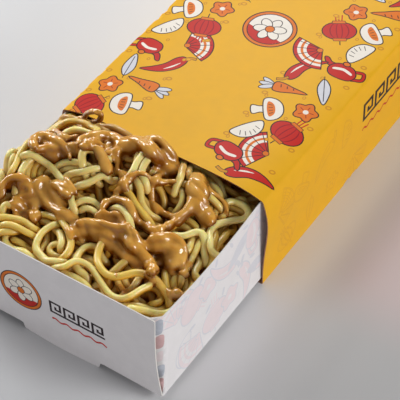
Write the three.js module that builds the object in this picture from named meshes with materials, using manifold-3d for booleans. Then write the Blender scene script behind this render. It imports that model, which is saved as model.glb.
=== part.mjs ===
// A noodle takeaway box: a white board tray heaped with noodles in thick brown sauce, in a yellow sleeve.
// The tray is drawn out of the sleeve's mouth at the front end. Units are millimetres, +Z is up,
// +Y runs from the tray's front panel into the sleeve, and the origin is the middle of the base.

import * as THREE from "three";
import { mergeVertices } from "three/addons/utils/BufferGeometryUtils.js";
import Module from "manifold-3d";

const wasm = await Module();
wasm.setup();

// Driving dimensions.
const BOARD = 0.5;
const TRAY_WIDTH = 100;
const TRAY_LENGTH = 200;
const WALL_HEIGHT = 48;
const TRAY_LIFT = 3.2; // the tray's floor stands this high, on the tabs of its two end panels
const EXPOSED = 74; // length of tray in front of the sleeve's mouth
const SLEEVE_LENGTH = 200;
const SLEEVE_PLAY = 0.7; // clear space between a tray wall and the sleeve
const RUNNING_GAP = 0.3;

const HALF_WIDTH = TRAY_WIDTH / 2;
const RIM = TRAY_LIFT + WALL_HEIGHT;

// How the loaded board bends.
const SIDE_BOW = 1.3; // a side wall's rim, halfway along the drawn-out length
const EDGE_CURL = 1.8; // the free upright edges of an end panel
const BACK_CURL = EDGE_CURL / 3;
const PANEL_INSET = 0.2; // an end panel's edge, in from the side wall's face, at the bottom
const PANEL_TAPER = 0.9; // and how much further in it is at the top
const PANEL_DROP = 0.2; // an end panel's lower edge, below the tray's floor
const CORNER_SETBACK = 0.4; // a side wall's fold, behind the end panel's face, at the floor
const CORNER_FOLD = 3.1; // and how much further back it is at the rim
const CORNER_RUN = 3.5; // width of the narrow strip across the corner, between the two folds
const FLAP_REACH = 18; // glued corner flap, along the end panel
const FLAP_SLOPE = 6; // length of the flap's slanted edge
const FLAP_FAR_TOP = 0.9; // a flap's height at its far end and near the corner, as a share of the wall's
const FLAP_NEAR_TOP = 0.985;
const FLANGE_TOP = 0.03; // the low fold behind an end panel, between its two flaps
const LAP = BOARD - 0.1; // the flaps' outer face, behind the end panel's
const SLEEVE_CROWN = 4.0;
const SLEEVE_BULGE = 2.5;
const BULGE_POWER = 2.1; // puts the side's bulge above its middle
const CROWN_POWER = 5; // keeps the crown flat but for its edges
const BEND_FADE = 80; // the bend drops to a third over this length
const RELAXED_SHARE = 0.3; // what is left of the sleeve's bend at its far end

// The front panel's middle tab, which the tray stands on.
const TAB_HALF = 20;
const TAB_OFFSET = -1.5;
const TAB_KICK = 0.9;
const TAB_ROOT = 1; // the tab starts this far above the tray's floor, inside the panel
const TAB_SINK = 0.04; // the tab's faces lie this far inside the panel's

// Places along the length.
const FRONT = -(EDGE_CURL + EXPOSED + SLEEVE_LENGTH) / 2 + EDGE_CURL;
const BACK = FRONT + TRAY_LENGTH;
const MOUTH = FRONT + EXPOSED;
const SLEEVE_END = MOUTH + SLEEVE_LENGTH;

// Noodles and sauce.
const NOODLE_RADIUS = 1.6;
const NOODLE_SIDES = 6;
const SAUCE_HIGH = 2.1; // half a ribbon's thickness
const SAUCE_WIDE = 3.2; // half its width
const SAUCE_SIDES = 6;
const BED_HEIGHT = 49.6; // noodles under the sleeve, but for a dip inside its mouth
const CORE_DEPTH = 3.8; // the core's surface lies this far below the first layer's tops
const CORNER_CUT = 4.6; // the food stays clear of the tray's slanted corners
const TUCK = 2.6; // a strand's ends go this far into the core
const STRAND_STEP = 4.8;
const STRAND_POINTS = 26;
const SHORTEST_STRAND = 8;
const STRAND_PITCH = 3.7; // strands of one layer keep this far apart
const LAYER_RISE = 2 * NOODLE_RADIUS + 0.15;
const TURN_STEP = 0.26; // a strand that meets another tries turns of this many radians
const TURN_TRIES = [0, 1, -1, 2, -2, 3, -3, 4, -4];
const STRAND_FIELDS = [
  { from: 5, to: EXPOSED + 4, rows: 5, columns: 6, layer: 0 },
  { from: 8, to: EXPOSED - 8, rows: 4, columns: 4, layer: 1 },
  { from: EXPOSED + 8, to: TRAY_LENGTH - 8, rows: 5, columns: 3, layer: 0 },
];
const SEED = 41;

const material = (color, roughness) =>
  new THREE.MeshStandardMaterial({ color, roughness, metalness: 0 });
const TRAY_BOARD = material(0xe6e2e3, 0.55);
const SLEEVE_BOARD = material(0xe8b341, 0.45);
const NOODLES = material(0xd8b45a, 0.35);

// Solids and meshes.

// A closed geometry, faces in or out, as a manifold-3d solid that faces out.
function solidOf(geometry) {
  const bare = geometry.clone().deleteAttribute("normal").deleteAttribute("uv");
  const merged = mergeVertices(bare, 1e-4);
  const build = (triVerts) =>
    new wasm.Manifold(
      new wasm.Mesh({
        numProp: 3,
        vertProperties: merged.attributes.position.array,
        triVerts,
      }),
    );
  const made = build(new Uint32Array(merged.index.array));
  return made.volume() > 0
    ? made
    : build(new Uint32Array(merged.index.array).reverse());
}

function indexedSolid(position, index) {
  const geometry = new THREE.BufferGeometry();
  geometry.setAttribute(
    "position",
    new THREE.Float32BufferAttribute(position, 3),
  );
  geometry.setIndex(index);
  return solidOf(geometry);
}

const joined = (solids) => wasm.Manifold.union(solids);

function meshOf(name, solid, look) {
  const { numProp, vertProperties, triVerts, numVert } = solid.getMesh();
  const position = new Float32Array(numVert * 3);
  for (let i = 0; i < numVert; i++)
    position.set(vertProperties.subarray(i * numProp, i * numProp + 3), i * 3);
  const geometry = new THREE.BufferGeometry()
    .setAttribute("position", new THREE.BufferAttribute(position, 3))
    .setIndex(new THREE.BufferAttribute(triVerts, 1));
  geometry.computeVertexNormals();
  const mesh = new THREE.Mesh(geometry, look);
  mesh.name = name;
  return mesh;
}

// The closed skin between two grids of (columns + 1) x (rows + 1) points.
// outer and inner give a THREE.Vector3 for u and v from 0 to 1.
function skin(columns, rows, outer, inner) {
  const position = [];
  for (const face of [outer, inner])
    for (let j = 0; j <= rows; j++)
      for (let i = 0; i <= columns; i++)
        position.push(...face(i / columns, j / rows));
  const wide = columns + 1;
  const layer = wide * (rows + 1);
  const index = [];
  const quad = (a, b, c, d) => index.push(a, b, c, a, c, d);
  const at = (i, j) => j * wide + i;
  for (let j = 0; j < rows; j++)
    for (let i = 0; i < columns; i++) {
      quad(at(i, j), at(i + 1, j), at(i + 1, j + 1), at(i, j + 1));
      quad(
        layer + at(i, j),
        layer + at(i, j + 1),
        layer + at(i + 1, j + 1),
        layer + at(i + 1, j),
      );
    }
  const side = (a, b) => quad(a, a + layer, b + layer, b);
  for (let i = 0; i < columns; i++) {
    side(at(i, 0), at(i + 1, 0));
    side(at(i + 1, rows), at(i, rows));
  }
  for (let j = 0; j < rows; j++) {
    side(at(columns, j), at(columns, j + 1));
    side(at(0, j + 1), at(0, j));
  }
  return indexedSolid(position, index);
}

// A sheet of board: surface gives its outer face, and the board lies along inward from it.
const board = (columns, rows, surface, inward) =>
  skin(columns, rows, surface, (u, v) => surface(u, v).add(inward));

// The tray: a tub of floor, side walls and corner flaps, with an end panel over each pair of flaps.
// end is -1 at the front and 1 at the back.

const endY = (end) => (end < 0 ? FRONT : BACK);

function sideBow(y, share) {
  const along = (y - FRONT) / EXPOSED;
  return along > 0 && along < 1 ? SIDE_BOW * Math.sin(Math.PI * along) * share : 0;
}

// The tub's outline over the right half of one end, from its middle to halfway along the side wall.
// Each place is [x, distance in from the end, share of the wall's height].
function tubQuarter(share) {
  const folded = Math.sin((Math.PI / 2) * Math.min(1, 1.25 * share));
  const slant = CORNER_SETBACK + CORNER_FOLD * folded;
  const turn = HALF_WIDTH - CORNER_RUN;
  const places = [
    [0, LAP, FLANGE_TOP],
    [turn - FLAP_REACH - FLAP_SLOPE, LAP, FLANGE_TOP],
    [turn - FLAP_REACH, LAP, FLAP_FAR_TOP],
    [turn, LAP, FLAP_NEAR_TOP],
    [HALF_WIDTH, slant, 1],
  ];
  const wallSteps = 6;
  for (let i = 1; i <= wallSteps; i++) {
    const inward = slant + (TRAY_LENGTH / 2 - slant) * (i / wallSteps);
    places.push([HALF_WIDTH, inward, 1]);
  }
  return places;
}

// The whole outline at a share of the wall's height, anticlockwise, moved in by inset.
function tubOutline(share, inset) {
  const quarter = tubQuarter(share);
  const mirrored = [...quarter].reverse();
  const runs = [
    [1, -1, quarter],
    [1, 1, mirrored],
    [-1, 1, quarter],
    [-1, -1, mirrored],
  ];
  const points = [];
  for (const [side, end, places] of runs)
    for (const [x, inward, top] of places.slice(0, -1)) {
      const y = endY(end) - end * (inward + inset);
      const bow = x === HALF_WIDTH ? sideBow(y, share) : 0;
      const reach = x - inset * (x / HALF_WIDTH) + bow;
      const z = TRAY_LIFT + inset + share * (top * WALL_HEIGHT - inset);
      points.push(new THREE.Vector3(side * reach, y, z));
    }
  return points;
}

function tub() {
  const rows = 4;
  const position = [];
  const index = [];
  const around = tubOutline(0, 0).length;
  for (const inset of [0, BOARD])
    for (let j = 0; j <= rows; j++)
      for (const p of tubOutline(j / rows, inset)) position.push(...p);
  const at = (i, j, layer) => (layer * (rows + 1) + j) * around + (i % around);
  for (let i = 0; i < around; i++) {
    for (let j = 0; j < rows; j++) {
      index.push(at(i, j, 0), at(i + 1, j, 0), at(i + 1, j + 1, 0));
      index.push(at(i, j, 0), at(i + 1, j + 1, 0), at(i, j + 1, 0));
      index.push(at(i, j, 1), at(i + 1, j + 1, 1), at(i + 1, j, 1));
      index.push(at(i, j, 1), at(i, j + 1, 1), at(i + 1, j + 1, 1));
    }
    index.push(at(i, rows, 0), at(i + 1, rows, 0), at(i + 1, rows, 1));
    index.push(at(i, rows, 0), at(i + 1, rows, 1), at(i, rows, 1));
  }
  const floor = tubOutline(0, 0).map((p) => new THREE.Vector2(p.x, p.y));
  for (const [a, b, c] of THREE.ShapeUtils.triangulateShape(floor, [])) {
    index.push(at(c, 0, 0), at(b, 0, 0), at(a, 0, 0));
    index.push(at(a, 0, 1), at(b, 0, 1), at(c, 0, 1));
  }
  return indexedSolid(position, index);
}

// An end panel. Its free upright edges curl away from the corner flaps at half height.
function endPanel(end) {
  const curl = end < 0 ? EDGE_CURL : BACK_CURL;
  const bottom = TRAY_LIFT - PANEL_DROP;
  const surface = (u, v) => {
    const across = 2 * u - 1;
    const out = curl * across ** 6 * Math.sin(Math.PI * v);
    const half = HALF_WIDTH - PANEL_INSET - PANEL_TAPER * v;
    return new THREE.Vector3(
      across * half,
      endY(end) + end * out,
      bottom + v * (RIM - bottom),
    );
  };
  return board(12, 4, surface, new THREE.Vector3(0, -end * BOARD, 0));
}

// The tab below an end panel, from just behind its face down to the height foot.
function panelTab(end, foot) {
  const root = TRAY_LIFT + TAB_ROOT;
  const surface = (u, v) => {
    const z = root + v * (foot - root);
    const down = Math.max(0, (TRAY_LIFT - z) / TRAY_LIFT);
    const across = 2 * u - 1;
    const kick = TAB_KICK * down * Math.cos((Math.PI / 2) * across) - TAB_SINK;
    return new THREE.Vector3(
      TAB_OFFSET + across * (TAB_HALF - down),
      endY(end) + end * kick,
      z,
    );
  };
  return board(8, 3, surface, new THREE.Vector3(0, -end * (BOARD - 2 * TAB_SINK), 0));
}

const tray = () =>
  joined([
    tub(),
    endPanel(-1),
    endPanel(1),
    panelTab(-1, 0),
    panelTab(1, BOARD + RUNNING_GAP),
  ]);

// The sleeve: a board tube, open at both ends, pushed out of square by the food near its mouth.

const SLEEVE_HALF = HALF_WIDTH + SLEEVE_PLAY + BOARD;
const TOP_PLAY = RUNNING_GAP + 0.2; // clear space between the tray's rim and the sleeve's fold
const SLEEVE_FOLD_Z = RIM + TOP_PLAY + BOARD;

function sleeveBend(y) {
  const fade = Math.exp(-(y - MOUTH) / BEND_FADE);
  return RELAXED_SHARE + (1 - RELAXED_SHARE) * fade;
}

// A section's outline at y, anticlockwise from the lower left fold, as points inset into the board.
function sleeveOutline(y, inset) {
  const bend = sleeveBend(y);
  const sideSteps = 6;
  const topSteps = 12;
  const half = SLEEVE_HALF - inset;
  const top = SLEEVE_FOLD_Z - inset;
  const points = [new THREE.Vector2(-half, inset)];
  const sideAt = (share) =>
    half + bend * SLEEVE_BULGE * Math.sin(Math.PI * share ** BULGE_POWER);
  for (let i = 0; i <= sideSteps; i++) {
    const share = i / sideSteps;
    points.push(new THREE.Vector2(sideAt(share), inset + share * (top - inset)));
  }
  for (let i = 1; i < topSteps; i++) {
    const across = 1 - (2 * i) / topSteps;
    const rise = bend * SLEEVE_CROWN * (1 - Math.abs(across) ** CROWN_POWER);
    points.push(new THREE.Vector2(across * half, top + rise));
  }
  for (let i = sideSteps; i > 0; i--) {
    const share = i / sideSteps;
    points.push(new THREE.Vector2(-sideAt(share), inset + share * (top - inset)));
  }
  return points;
}

function sleeveTube(inset, y0, y1) {
  const lengthSteps = 6;
  const position = [];
  const index = [];
  let around = 0;
  for (let j = 0; j <= lengthSteps; j++) {
    const y = y0 + ((y1 - y0) * j) / lengthSteps;
    const outline = sleeveOutline(y, inset);
    around = outline.length;
    for (const p of outline) position.push(p.x, y, p.y);
  }
  const at = (i, j) => j * around + (i % around);
  for (let j = 0; j < lengthSteps; j++)
    for (let i = 0; i < around; i++)
      index.push(
        at(i, j), at(i + 1, j + 1), at(i + 1, j),
        at(i, j), at(i, j + 1), at(i + 1, j + 1),
      );
  for (const j of [0, lengthSteps]) {
    const outline = sleeveOutline(0, inset);
    for (const [a, b, c] of THREE.ShapeUtils.triangulateShape(outline, []))
      index.push(
        ...(j ? [at(c, j), at(b, j), at(a, j)] : [at(a, j), at(b, j), at(c, j)]),
      );
  }
  return indexedSolid(position, index);
}

function sleeve() {
  const overrun = 5;
  return sleeveTube(0, MOUTH, SLEEVE_END).subtract(
    sleeveTube(BOARD, MOUTH - overrun, SLEEVE_END + overrun),
  );
}

// The noodles. The same surface heapTop carries the core, the strands and the sauce.

// Soft rises of the heap: [middle x, middle along, reach x, reach along, height].
const RISES = [
  [-18, 58, 24, 18, 16],
  [-42, 36, 13, 22, 8.5],
  [8, 38, 24, 18, 6],
  [14, 64, 16, 12, 9.5],
];

const MOUTH_DIP = [36, 78, 22, 16, -5];

const swell = ([cx, ca, rx, ra, rise], x, along) =>
  rise * Math.exp(-(((x - cx) / rx) ** 2) - ((along - ca) / ra) ** 2);

// Height of the surface at x across and along from the front panel.
function heapTop(x, along) {
  const ripple = Math.sin(x * 0.21 + along * 0.13) + 0.8 * Math.sin(along * 0.29 - x * 0.17 + 1);
  if (along > EXPOSED - 2) return BED_HEIGHT + 0.7 * ripple + swell(MOUTH_DIP, x, along);
  const aside = x / HALF_WIDTH;
  let height = 47.5 + ripple - 3.5 * aside - 3 * aside ** 8;
  for (const rise of RISES) height += swell(rise, x, along);
  return height;
}

// A repeatable stream of numbers from 0 to 1.
function stream(seed) {
  let state = seed;
  return () => {
    state = (state * 1664525 + 1013904223) % 4294967296;
    return state / 4294967296;
  };
}

const INSIDE_X = HALF_WIDTH - BOARD - RUNNING_GAP;

// Space inside the tray, with slanted corners, as high as anything stands.
function trayInside() {
  const x = INSIDE_X;
  const y0 = FRONT + LAP + BOARD + RUNNING_GAP;
  const y1 = BACK - LAP - BOARD - RUNNING_GAP;
  const cut = CORNER_CUT;
  const outline = new THREE.Shape([
    new THREE.Vector2(-x + cut, y0),
    new THREE.Vector2(x - cut, y0),
    new THREE.Vector2(x, y0 + cut),
    new THREE.Vector2(x, y1 - cut),
    new THREE.Vector2(x - cut, y1),
    new THREE.Vector2(-x + cut, y1),
    new THREE.Vector2(-x, y1 - cut),
    new THREE.Vector2(-x, y0 + cut),
  ]);
  const floor = TRAY_LIFT + BOARD + RUNNING_GAP;
  const depth = 2 * WALL_HEIGHT;
  const prism = new THREE.ExtrudeGeometry(outline, { depth, bevelEnabled: false });
  return solidOf(prism.translate(0, 0, floor));
}

// The packed food below the strands: a steep face stands where the sleeve begins.
function core() {
  const rows = 18;
  const rowsAhead = 8;
  const alongOf = (v) => {
    const row = Math.round(v * rows);
    if (row <= rowsAhead) return (row / rowsAhead) * (EXPOSED - 3);
    return EXPOSED - 1 + ((row - rowsAhead - 1) / (rows - rowsAhead - 1)) * (TRAY_LENGTH - EXPOSED + 1);
  };
  const drawn = (u, v) => {
    const x = (2 * u - 1) * HALF_WIDTH;
    const along = alongOf(v);
    return new THREE.Vector3(x, FRONT + along, heapTop(x, along) - CORE_DEPTH);
  };
  return skin(11, rows, drawn, (u, v) => drawn(u, v).setZ(0));
}

// A bar along a smooth line through points, high and wide from its middle, with rounded ends.
function bar(points, sides, steps, high, wide) {
  const line = new THREE.CatmullRomCurve3(points);
  const position = [];
  const index = [];
  for (let j = 0; j <= steps; j++) {
    const middle = line.getPoint(j / steps);
    const ahead = line.getTangent(j / steps);
    const aside = new THREE.Vector3(ahead.y, -ahead.x, 0).normalize();
    const above = aside.clone().cross(ahead);
    const size = j % steps ? 1 : 0.6;
    for (let i = 0; i < sides; i++) {
      const turn = (2 * Math.PI * i) / sides;
      const p = middle.clone();
      p.addScaledVector(aside, size * wide * Math.cos(turn));
      p.addScaledVector(above, size * high * Math.sin(turn));
      position.push(...p);
    }
  }
  const at = (i, j) => j * sides + (i % sides);
  for (let j = 0; j < steps; j++)
    for (let i = 0; i < sides; i++) {
      index.push(at(i, j), at(i + 1, j), at(i + 1, j + 1));
      index.push(at(i, j), at(i + 1, j + 1), at(i, j + 1));
    }
  for (let i = 1; i < sides - 1; i++) {
    index.push(at(0, 0), at(i + 1, 0), at(i, 0));
    index.push(at(0, steps), at(i, steps), at(i + 1, steps));
  }
  return indexedSolid(position, index);
}

// Whether a strand may pass here: clear of the walls, and of the steep face in the sleeve's mouth.
function passable(x, along, layer) {
  const lastAlong = layer > 0 ? EXPOSED - 4 : TRAY_LENGTH - 4;
  const face = heapTop(x, EXPOSED - 3) - heapTop(x, EXPOSED) > 3;
  return (
    Math.abs(x) < INSIDE_X - NOODLE_RADIUS - 0.4 &&
    along > 3.6 &&
    along < lastAlong &&
    !(face && Math.abs(along - EXPOSED) < 4)
  );
}

// A curly path over the heap from (x, along). It turns away from the tray's walls and from the points
// in taken, and ends where it can't.
function strandPath(random, taken, x, along, layer) {
  const points = [];
  const lean = random() < 0.5 ? -1 : 1;
  const phase = 2 * Math.PI * random();
  let heading = 2 * Math.PI * random();
  const free = (nx, na) =>
    passable(nx, na, layer) &&
    ![...taken, ...points.slice(0, -1)].some(
      (p) => Math.hypot(p.x - nx, p.y - FRONT - na) < STRAND_PITCH,
    );
  for (let i = 0; i < STRAND_POINTS; i++) {
    const wish = heading + lean * 0.3 + 0.45 * Math.sin(0.45 * i + phase);
    const turns = TURN_TRIES.map((n) => wish + n * TURN_STEP * lean);
    const found = turns.find((turn) =>
      free(x + STRAND_STEP * Math.cos(turn), along + STRAND_STEP * Math.sin(turn)),
    );
    if (found === undefined) break;
    heading = found;
    x += STRAND_STEP * Math.cos(heading);
    along += STRAND_STEP * Math.sin(heading);
    const z = heapTop(x, along) - NOODLE_RADIUS + layer * LAYER_RISE;
    points.push(new THREE.Vector3(x, FRONT + along, z));
  }
  return points;
}

// Both ends of a strand go down into the core.
function tucked(path, layer) {
  const drop = TUCK + layer * 2 * NOODLE_RADIUS;
  for (const [end, next] of [[path[0], path[1]], [path.at(-1), path.at(-2)]]) {
    end.z -= drop;
    next.z -= 0.35 * drop;
  }
  return path;
}

// Strands start at places spread evenly. Those of one layer keep clear of each other.
function strands() {
  const random = stream(SEED);
  const taken = [[], []];
  const made = [];
  for (const { from, to, rows, columns, layer } of STRAND_FIELDS)
    for (let j = 0; j < rows; j++)
      for (let i = 0; i < columns; i++) {
        const x = (INSIDE_X - 6) * ((2 * (i + random())) / columns - 1);
        const along = from + ((to - from) * (j + random())) / rows;
        const path = strandPath(random, taken[layer], x, along, layer);
        if (path.length < SHORTEST_STRAND) continue;
        taken[layer].push(...path);
        const line = tucked(path, layer);
        made.push(bar(line, NOODLE_SIDES, path.length - 1, NOODLE_RADIUS, NOODLE_RADIUS));
      }
  return made;
}

// Poured sauce: the places [x, along] of each ribbon over the heap.
const RIBBONS = [
  [[-23, 50], [-16, 59], [-8, 63], [2, 66], [11, 65]],
  [[-43, 40], [-36, 44], [-30, 44], [-24, 46]],
  [[-39, 17], [-36, 25], [-29, 27], [-22, 27], [-13, 26]],
  [[-6, 25], [4, 26], [14, 27], [24, 31], [33, 36]],
  [[5, 24], [14, 22], [23, 20], [32, 20]],
  [[12, 49], [15, 45], [21, 46], [28, 51]],
  [[16, 64], [20, 61], [27, 58], [34, 56]],
  [[-17, 52], [-10, 48], [-2, 46], [2, 41]],
];

function ribbon(places) {
  const line = places.map(
    ([x, along]) => new THREE.Vector3(x, FRONT + along, heapTop(x, along) + 1.2),
  );
  return bar(line, SAUCE_SIDES, 2 * places.length, SAUCE_HIGH, SAUCE_WIDE);
}

function noodles() {
  const heap = joined([core(), ...strands(), ...RIBBONS.map(ribbon)]);
  const inside = heap.intersect(trayInside());
  return inside.decompose().sort((a, b) => b.volume() - a.volume())[0];
}

const box = new THREE.Group();
box.name = "noodle_takeaway_box";
box.add(meshOf("tray", tray(), TRAY_BOARD));
box.add(meshOf("sleeve", sleeve(), SLEEVE_BOARD));
box.add(meshOf("noodles", noodles(), NOODLES));

export default box;
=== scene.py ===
"""Looks of a noodle takeaway box: a white board tray heaped with noodles and thick brown sauce, partly drawn
out of a printed yellow board sleeve.

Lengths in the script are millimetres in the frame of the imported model; meshes and materials are in metres.
Along the box, a place is given by y, or by along, its distance from the tray's front panel.
"""

import math

import bpy
import numpy as np
from mathutils import Matrix, Vector, geometry


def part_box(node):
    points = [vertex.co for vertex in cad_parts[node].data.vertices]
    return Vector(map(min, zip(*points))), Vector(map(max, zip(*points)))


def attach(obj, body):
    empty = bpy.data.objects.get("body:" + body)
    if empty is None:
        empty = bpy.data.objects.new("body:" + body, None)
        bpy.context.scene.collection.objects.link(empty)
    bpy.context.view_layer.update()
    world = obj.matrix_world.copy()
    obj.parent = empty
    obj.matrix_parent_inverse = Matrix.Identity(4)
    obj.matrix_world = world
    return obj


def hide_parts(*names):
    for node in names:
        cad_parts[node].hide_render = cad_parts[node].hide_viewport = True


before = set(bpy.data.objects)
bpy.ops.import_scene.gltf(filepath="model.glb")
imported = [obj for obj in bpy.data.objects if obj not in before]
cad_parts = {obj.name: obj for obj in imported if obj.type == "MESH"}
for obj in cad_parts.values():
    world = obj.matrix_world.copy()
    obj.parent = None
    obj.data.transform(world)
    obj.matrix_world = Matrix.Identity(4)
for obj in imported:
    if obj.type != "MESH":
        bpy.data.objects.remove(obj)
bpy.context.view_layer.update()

MM = 0.001


def node_box(name):
    """Lowest and highest corner of a CAD node, in millimetres."""
    low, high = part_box(name)
    return np.array(low) / MM, np.array(high) / MM


# Driving dimensions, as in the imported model.
TRAY_LOW, TRAY_HIGH = node_box("tray")
SLEEVE_LOW, SLEEVE_HIGH = node_box("sleeve")
BOARD = 0.5
HALF_WIDTH = 50.0
TRAY_LENGTH = 200.0
TRAY_LIFT = 3.2
EDGE_CURL = 1.8
CORNER_FOLD = 3.1
FLAP_REACH = 18.0
SIDE_BOW = 1.3
LAP = BOARD - 0.1
RIM = TRAY_HIGH[2]
WALL_HEIGHT = RIM - TRAY_LIFT
FRONT = TRAY_LOW[1] + EDGE_CURL
BACK = FRONT + TRAY_LENGTH
MOUTH = SLEEVE_LOW[1]
SLEEVE_END = SLEEVE_HIGH[1]
SLEEVE_LENGTH = SLEEVE_END - MOUTH
EXPOSED = MOUTH - FRONT

SLEEVE_HALF = 51.2
SLEEVE_FOLD_Z = 52.2
SLEEVE_CROWN = 4.0
SLEEVE_BULGE = 2.5
CROWN_POWER = 5
BULGE_POWER = 2.1
RELAXED_SHARE = 0.3
RELAX_REACH = 80

NOODLE_RADIUS = 1.52
BED_HEIGHT = 49.6


# ---------------------------------------------------------------------------
# Camera, floor and light
# ---------------------------------------------------------------------------

CAMERA_AZIMUTH = math.radians(35.49)
CAMERA_ELEVATION = math.radians(47.21)
CAMERA_ROLL = math.radians(-2.27)
CAMERA_TARGET = np.array([14.09, FRONT + 81.84, 25.0])
CAMERA_DISTANCE = 674.49
FOCAL_PIXELS = 1560.46
IMAGE_SIZE = 400
SENSOR = 36.0


def camera_axes():
    """The camera's right, up and back directions."""
    sin_a, cos_a = math.sin(CAMERA_AZIMUTH), math.cos(CAMERA_AZIMUTH)
    sin_e, cos_e = math.sin(CAMERA_ELEVATION), math.cos(CAMERA_ELEVATION)
    back = np.array([sin_a * cos_e, -cos_a * cos_e, sin_e])
    level = np.array([cos_a, sin_a, 0.0])
    upright = np.cross(back, level)
    sin_r, cos_r = math.sin(CAMERA_ROLL), math.cos(CAMERA_ROLL)
    right = level * cos_r + upright * sin_r
    up = -level * sin_r + upright * cos_r
    return right, up, back


RIGHT, UP, BACKWARD = camera_axes()
EYE = CAMERA_TARGET + BACKWARD * CAMERA_DISTANCE


def linked(name, data):
    """A new object in the scene."""
    thing = bpy.data.objects.new(name, data)
    bpy.context.scene.collection.objects.link(thing)
    return thing


def add_camera():
    data = bpy.data.cameras.new("camera")
    data.sensor_fit = "HORIZONTAL"
    data.sensor_width = SENSOR
    data.lens = FOCAL_PIXELS / IMAGE_SIZE * SENSOR
    data.clip_start = 0.01
    data.clip_end = 10.0
    camera = linked("camera", data)
    turn = Matrix((RIGHT, UP, BACKWARD)).transposed().to_4x4()
    camera.matrix_world = Matrix.Translation(Vector(EYE * MM)) @ turn
    bpy.context.scene.camera = camera


def add_area_light(name, place, size, power, colour, glossy):
    data = bpy.data.lights.new(name, "AREA")
    data.shape = "RECTANGLE"
    data.size, data.size_y = size[0] * MM, size[1] * MM
    data.energy = power
    data.color = colour
    light = linked(name, data)
    light.visible_glossy = glossy
    light.location = Vector(place) * MM
    direction = Vector(LIGHT_AIM) - Vector(place)
    light.rotation_euler = direction.to_track_quat("-Z", "Y").to_euler()


# Soft lights: place, size, power, colour, and whether glossy surfaces mirror them.
LIGHT_AIM = (0, -20, 20)
NEUTRAL = (1.0, 1.0, 1.0)
WARM = (1.0, 0.995, 0.985)
COOL = (0.99, 0.995, 1.0)
ROSY = (1.0, 0.97, 0.98)
LIGHTS = {
    "right_window": ((800, 0, 300), (500, 360), 2.4, WARM, True),
    "right_pane": ((760, 60, 420), (240, 220), 2.3, WARM, True),
    "back_left_window": ((-400, 700, 600), (600, 500), 1.4, NEUTRAL, True),
    "back_left_pane": ((-380, 640, 680), (320, 260), 3.7, NEUTRAL, True),
    "left_window": ((-800, 60, 410), (500, 400), 5.6, COOL, True),
    "front_fill": ((150, -950, 270), (500, 300), 1.75, ROSY, False),
}
WORLD_COLOUR = (0.98, 0.99, 1.0, 1.0)
WORLD_STRENGTH = 0.1
FLOOR_REACH = 2500


def add_lights():
    for name, (place, size, power, colour, glossy) in LIGHTS.items():
        add_area_light(name, place, size, power, colour, glossy)
    world = bpy.data.worlds.new("studio")
    bpy.context.scene.world = world
    world.use_nodes = True
    background = world.node_tree.nodes["Background"]
    background.inputs["Color"].default_value = WORLD_COLOUR
    background.inputs["Strength"].default_value = WORLD_STRENGTH
    bpy.context.scene.view_settings.view_transform = "Standard"


def add_floor():
    mesh = bpy.data.meshes.new("floor")
    reach = FLOOR_REACH * MM
    corners = [(-reach, -reach, 0), (reach, -reach, 0), (reach, reach, 0), (-reach, reach, 0)]
    mesh.from_pydata(corners, [], [(0, 1, 2, 3)])
    mesh.materials.append(floor_material())
    floor = linked("floor", mesh)


# ---------------------------------------------------------------------------
# Materials
# ---------------------------------------------------------------------------


def linear(red, green, blue):
    """A colour given as screen values from 0 to 255, as the shader's linear values."""
    def one(value):
        share = value / 255
        return share / 12.92 if share <= 0.04045 else ((share + 0.055) / 1.055) ** 2.4
    return one(red), one(green), one(blue), 1.0


def shaded(colour, share):
    """A colour made darker or lighter."""
    return (*(min(1.0, share * c) for c in colour[:3]), 1.0)


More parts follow.
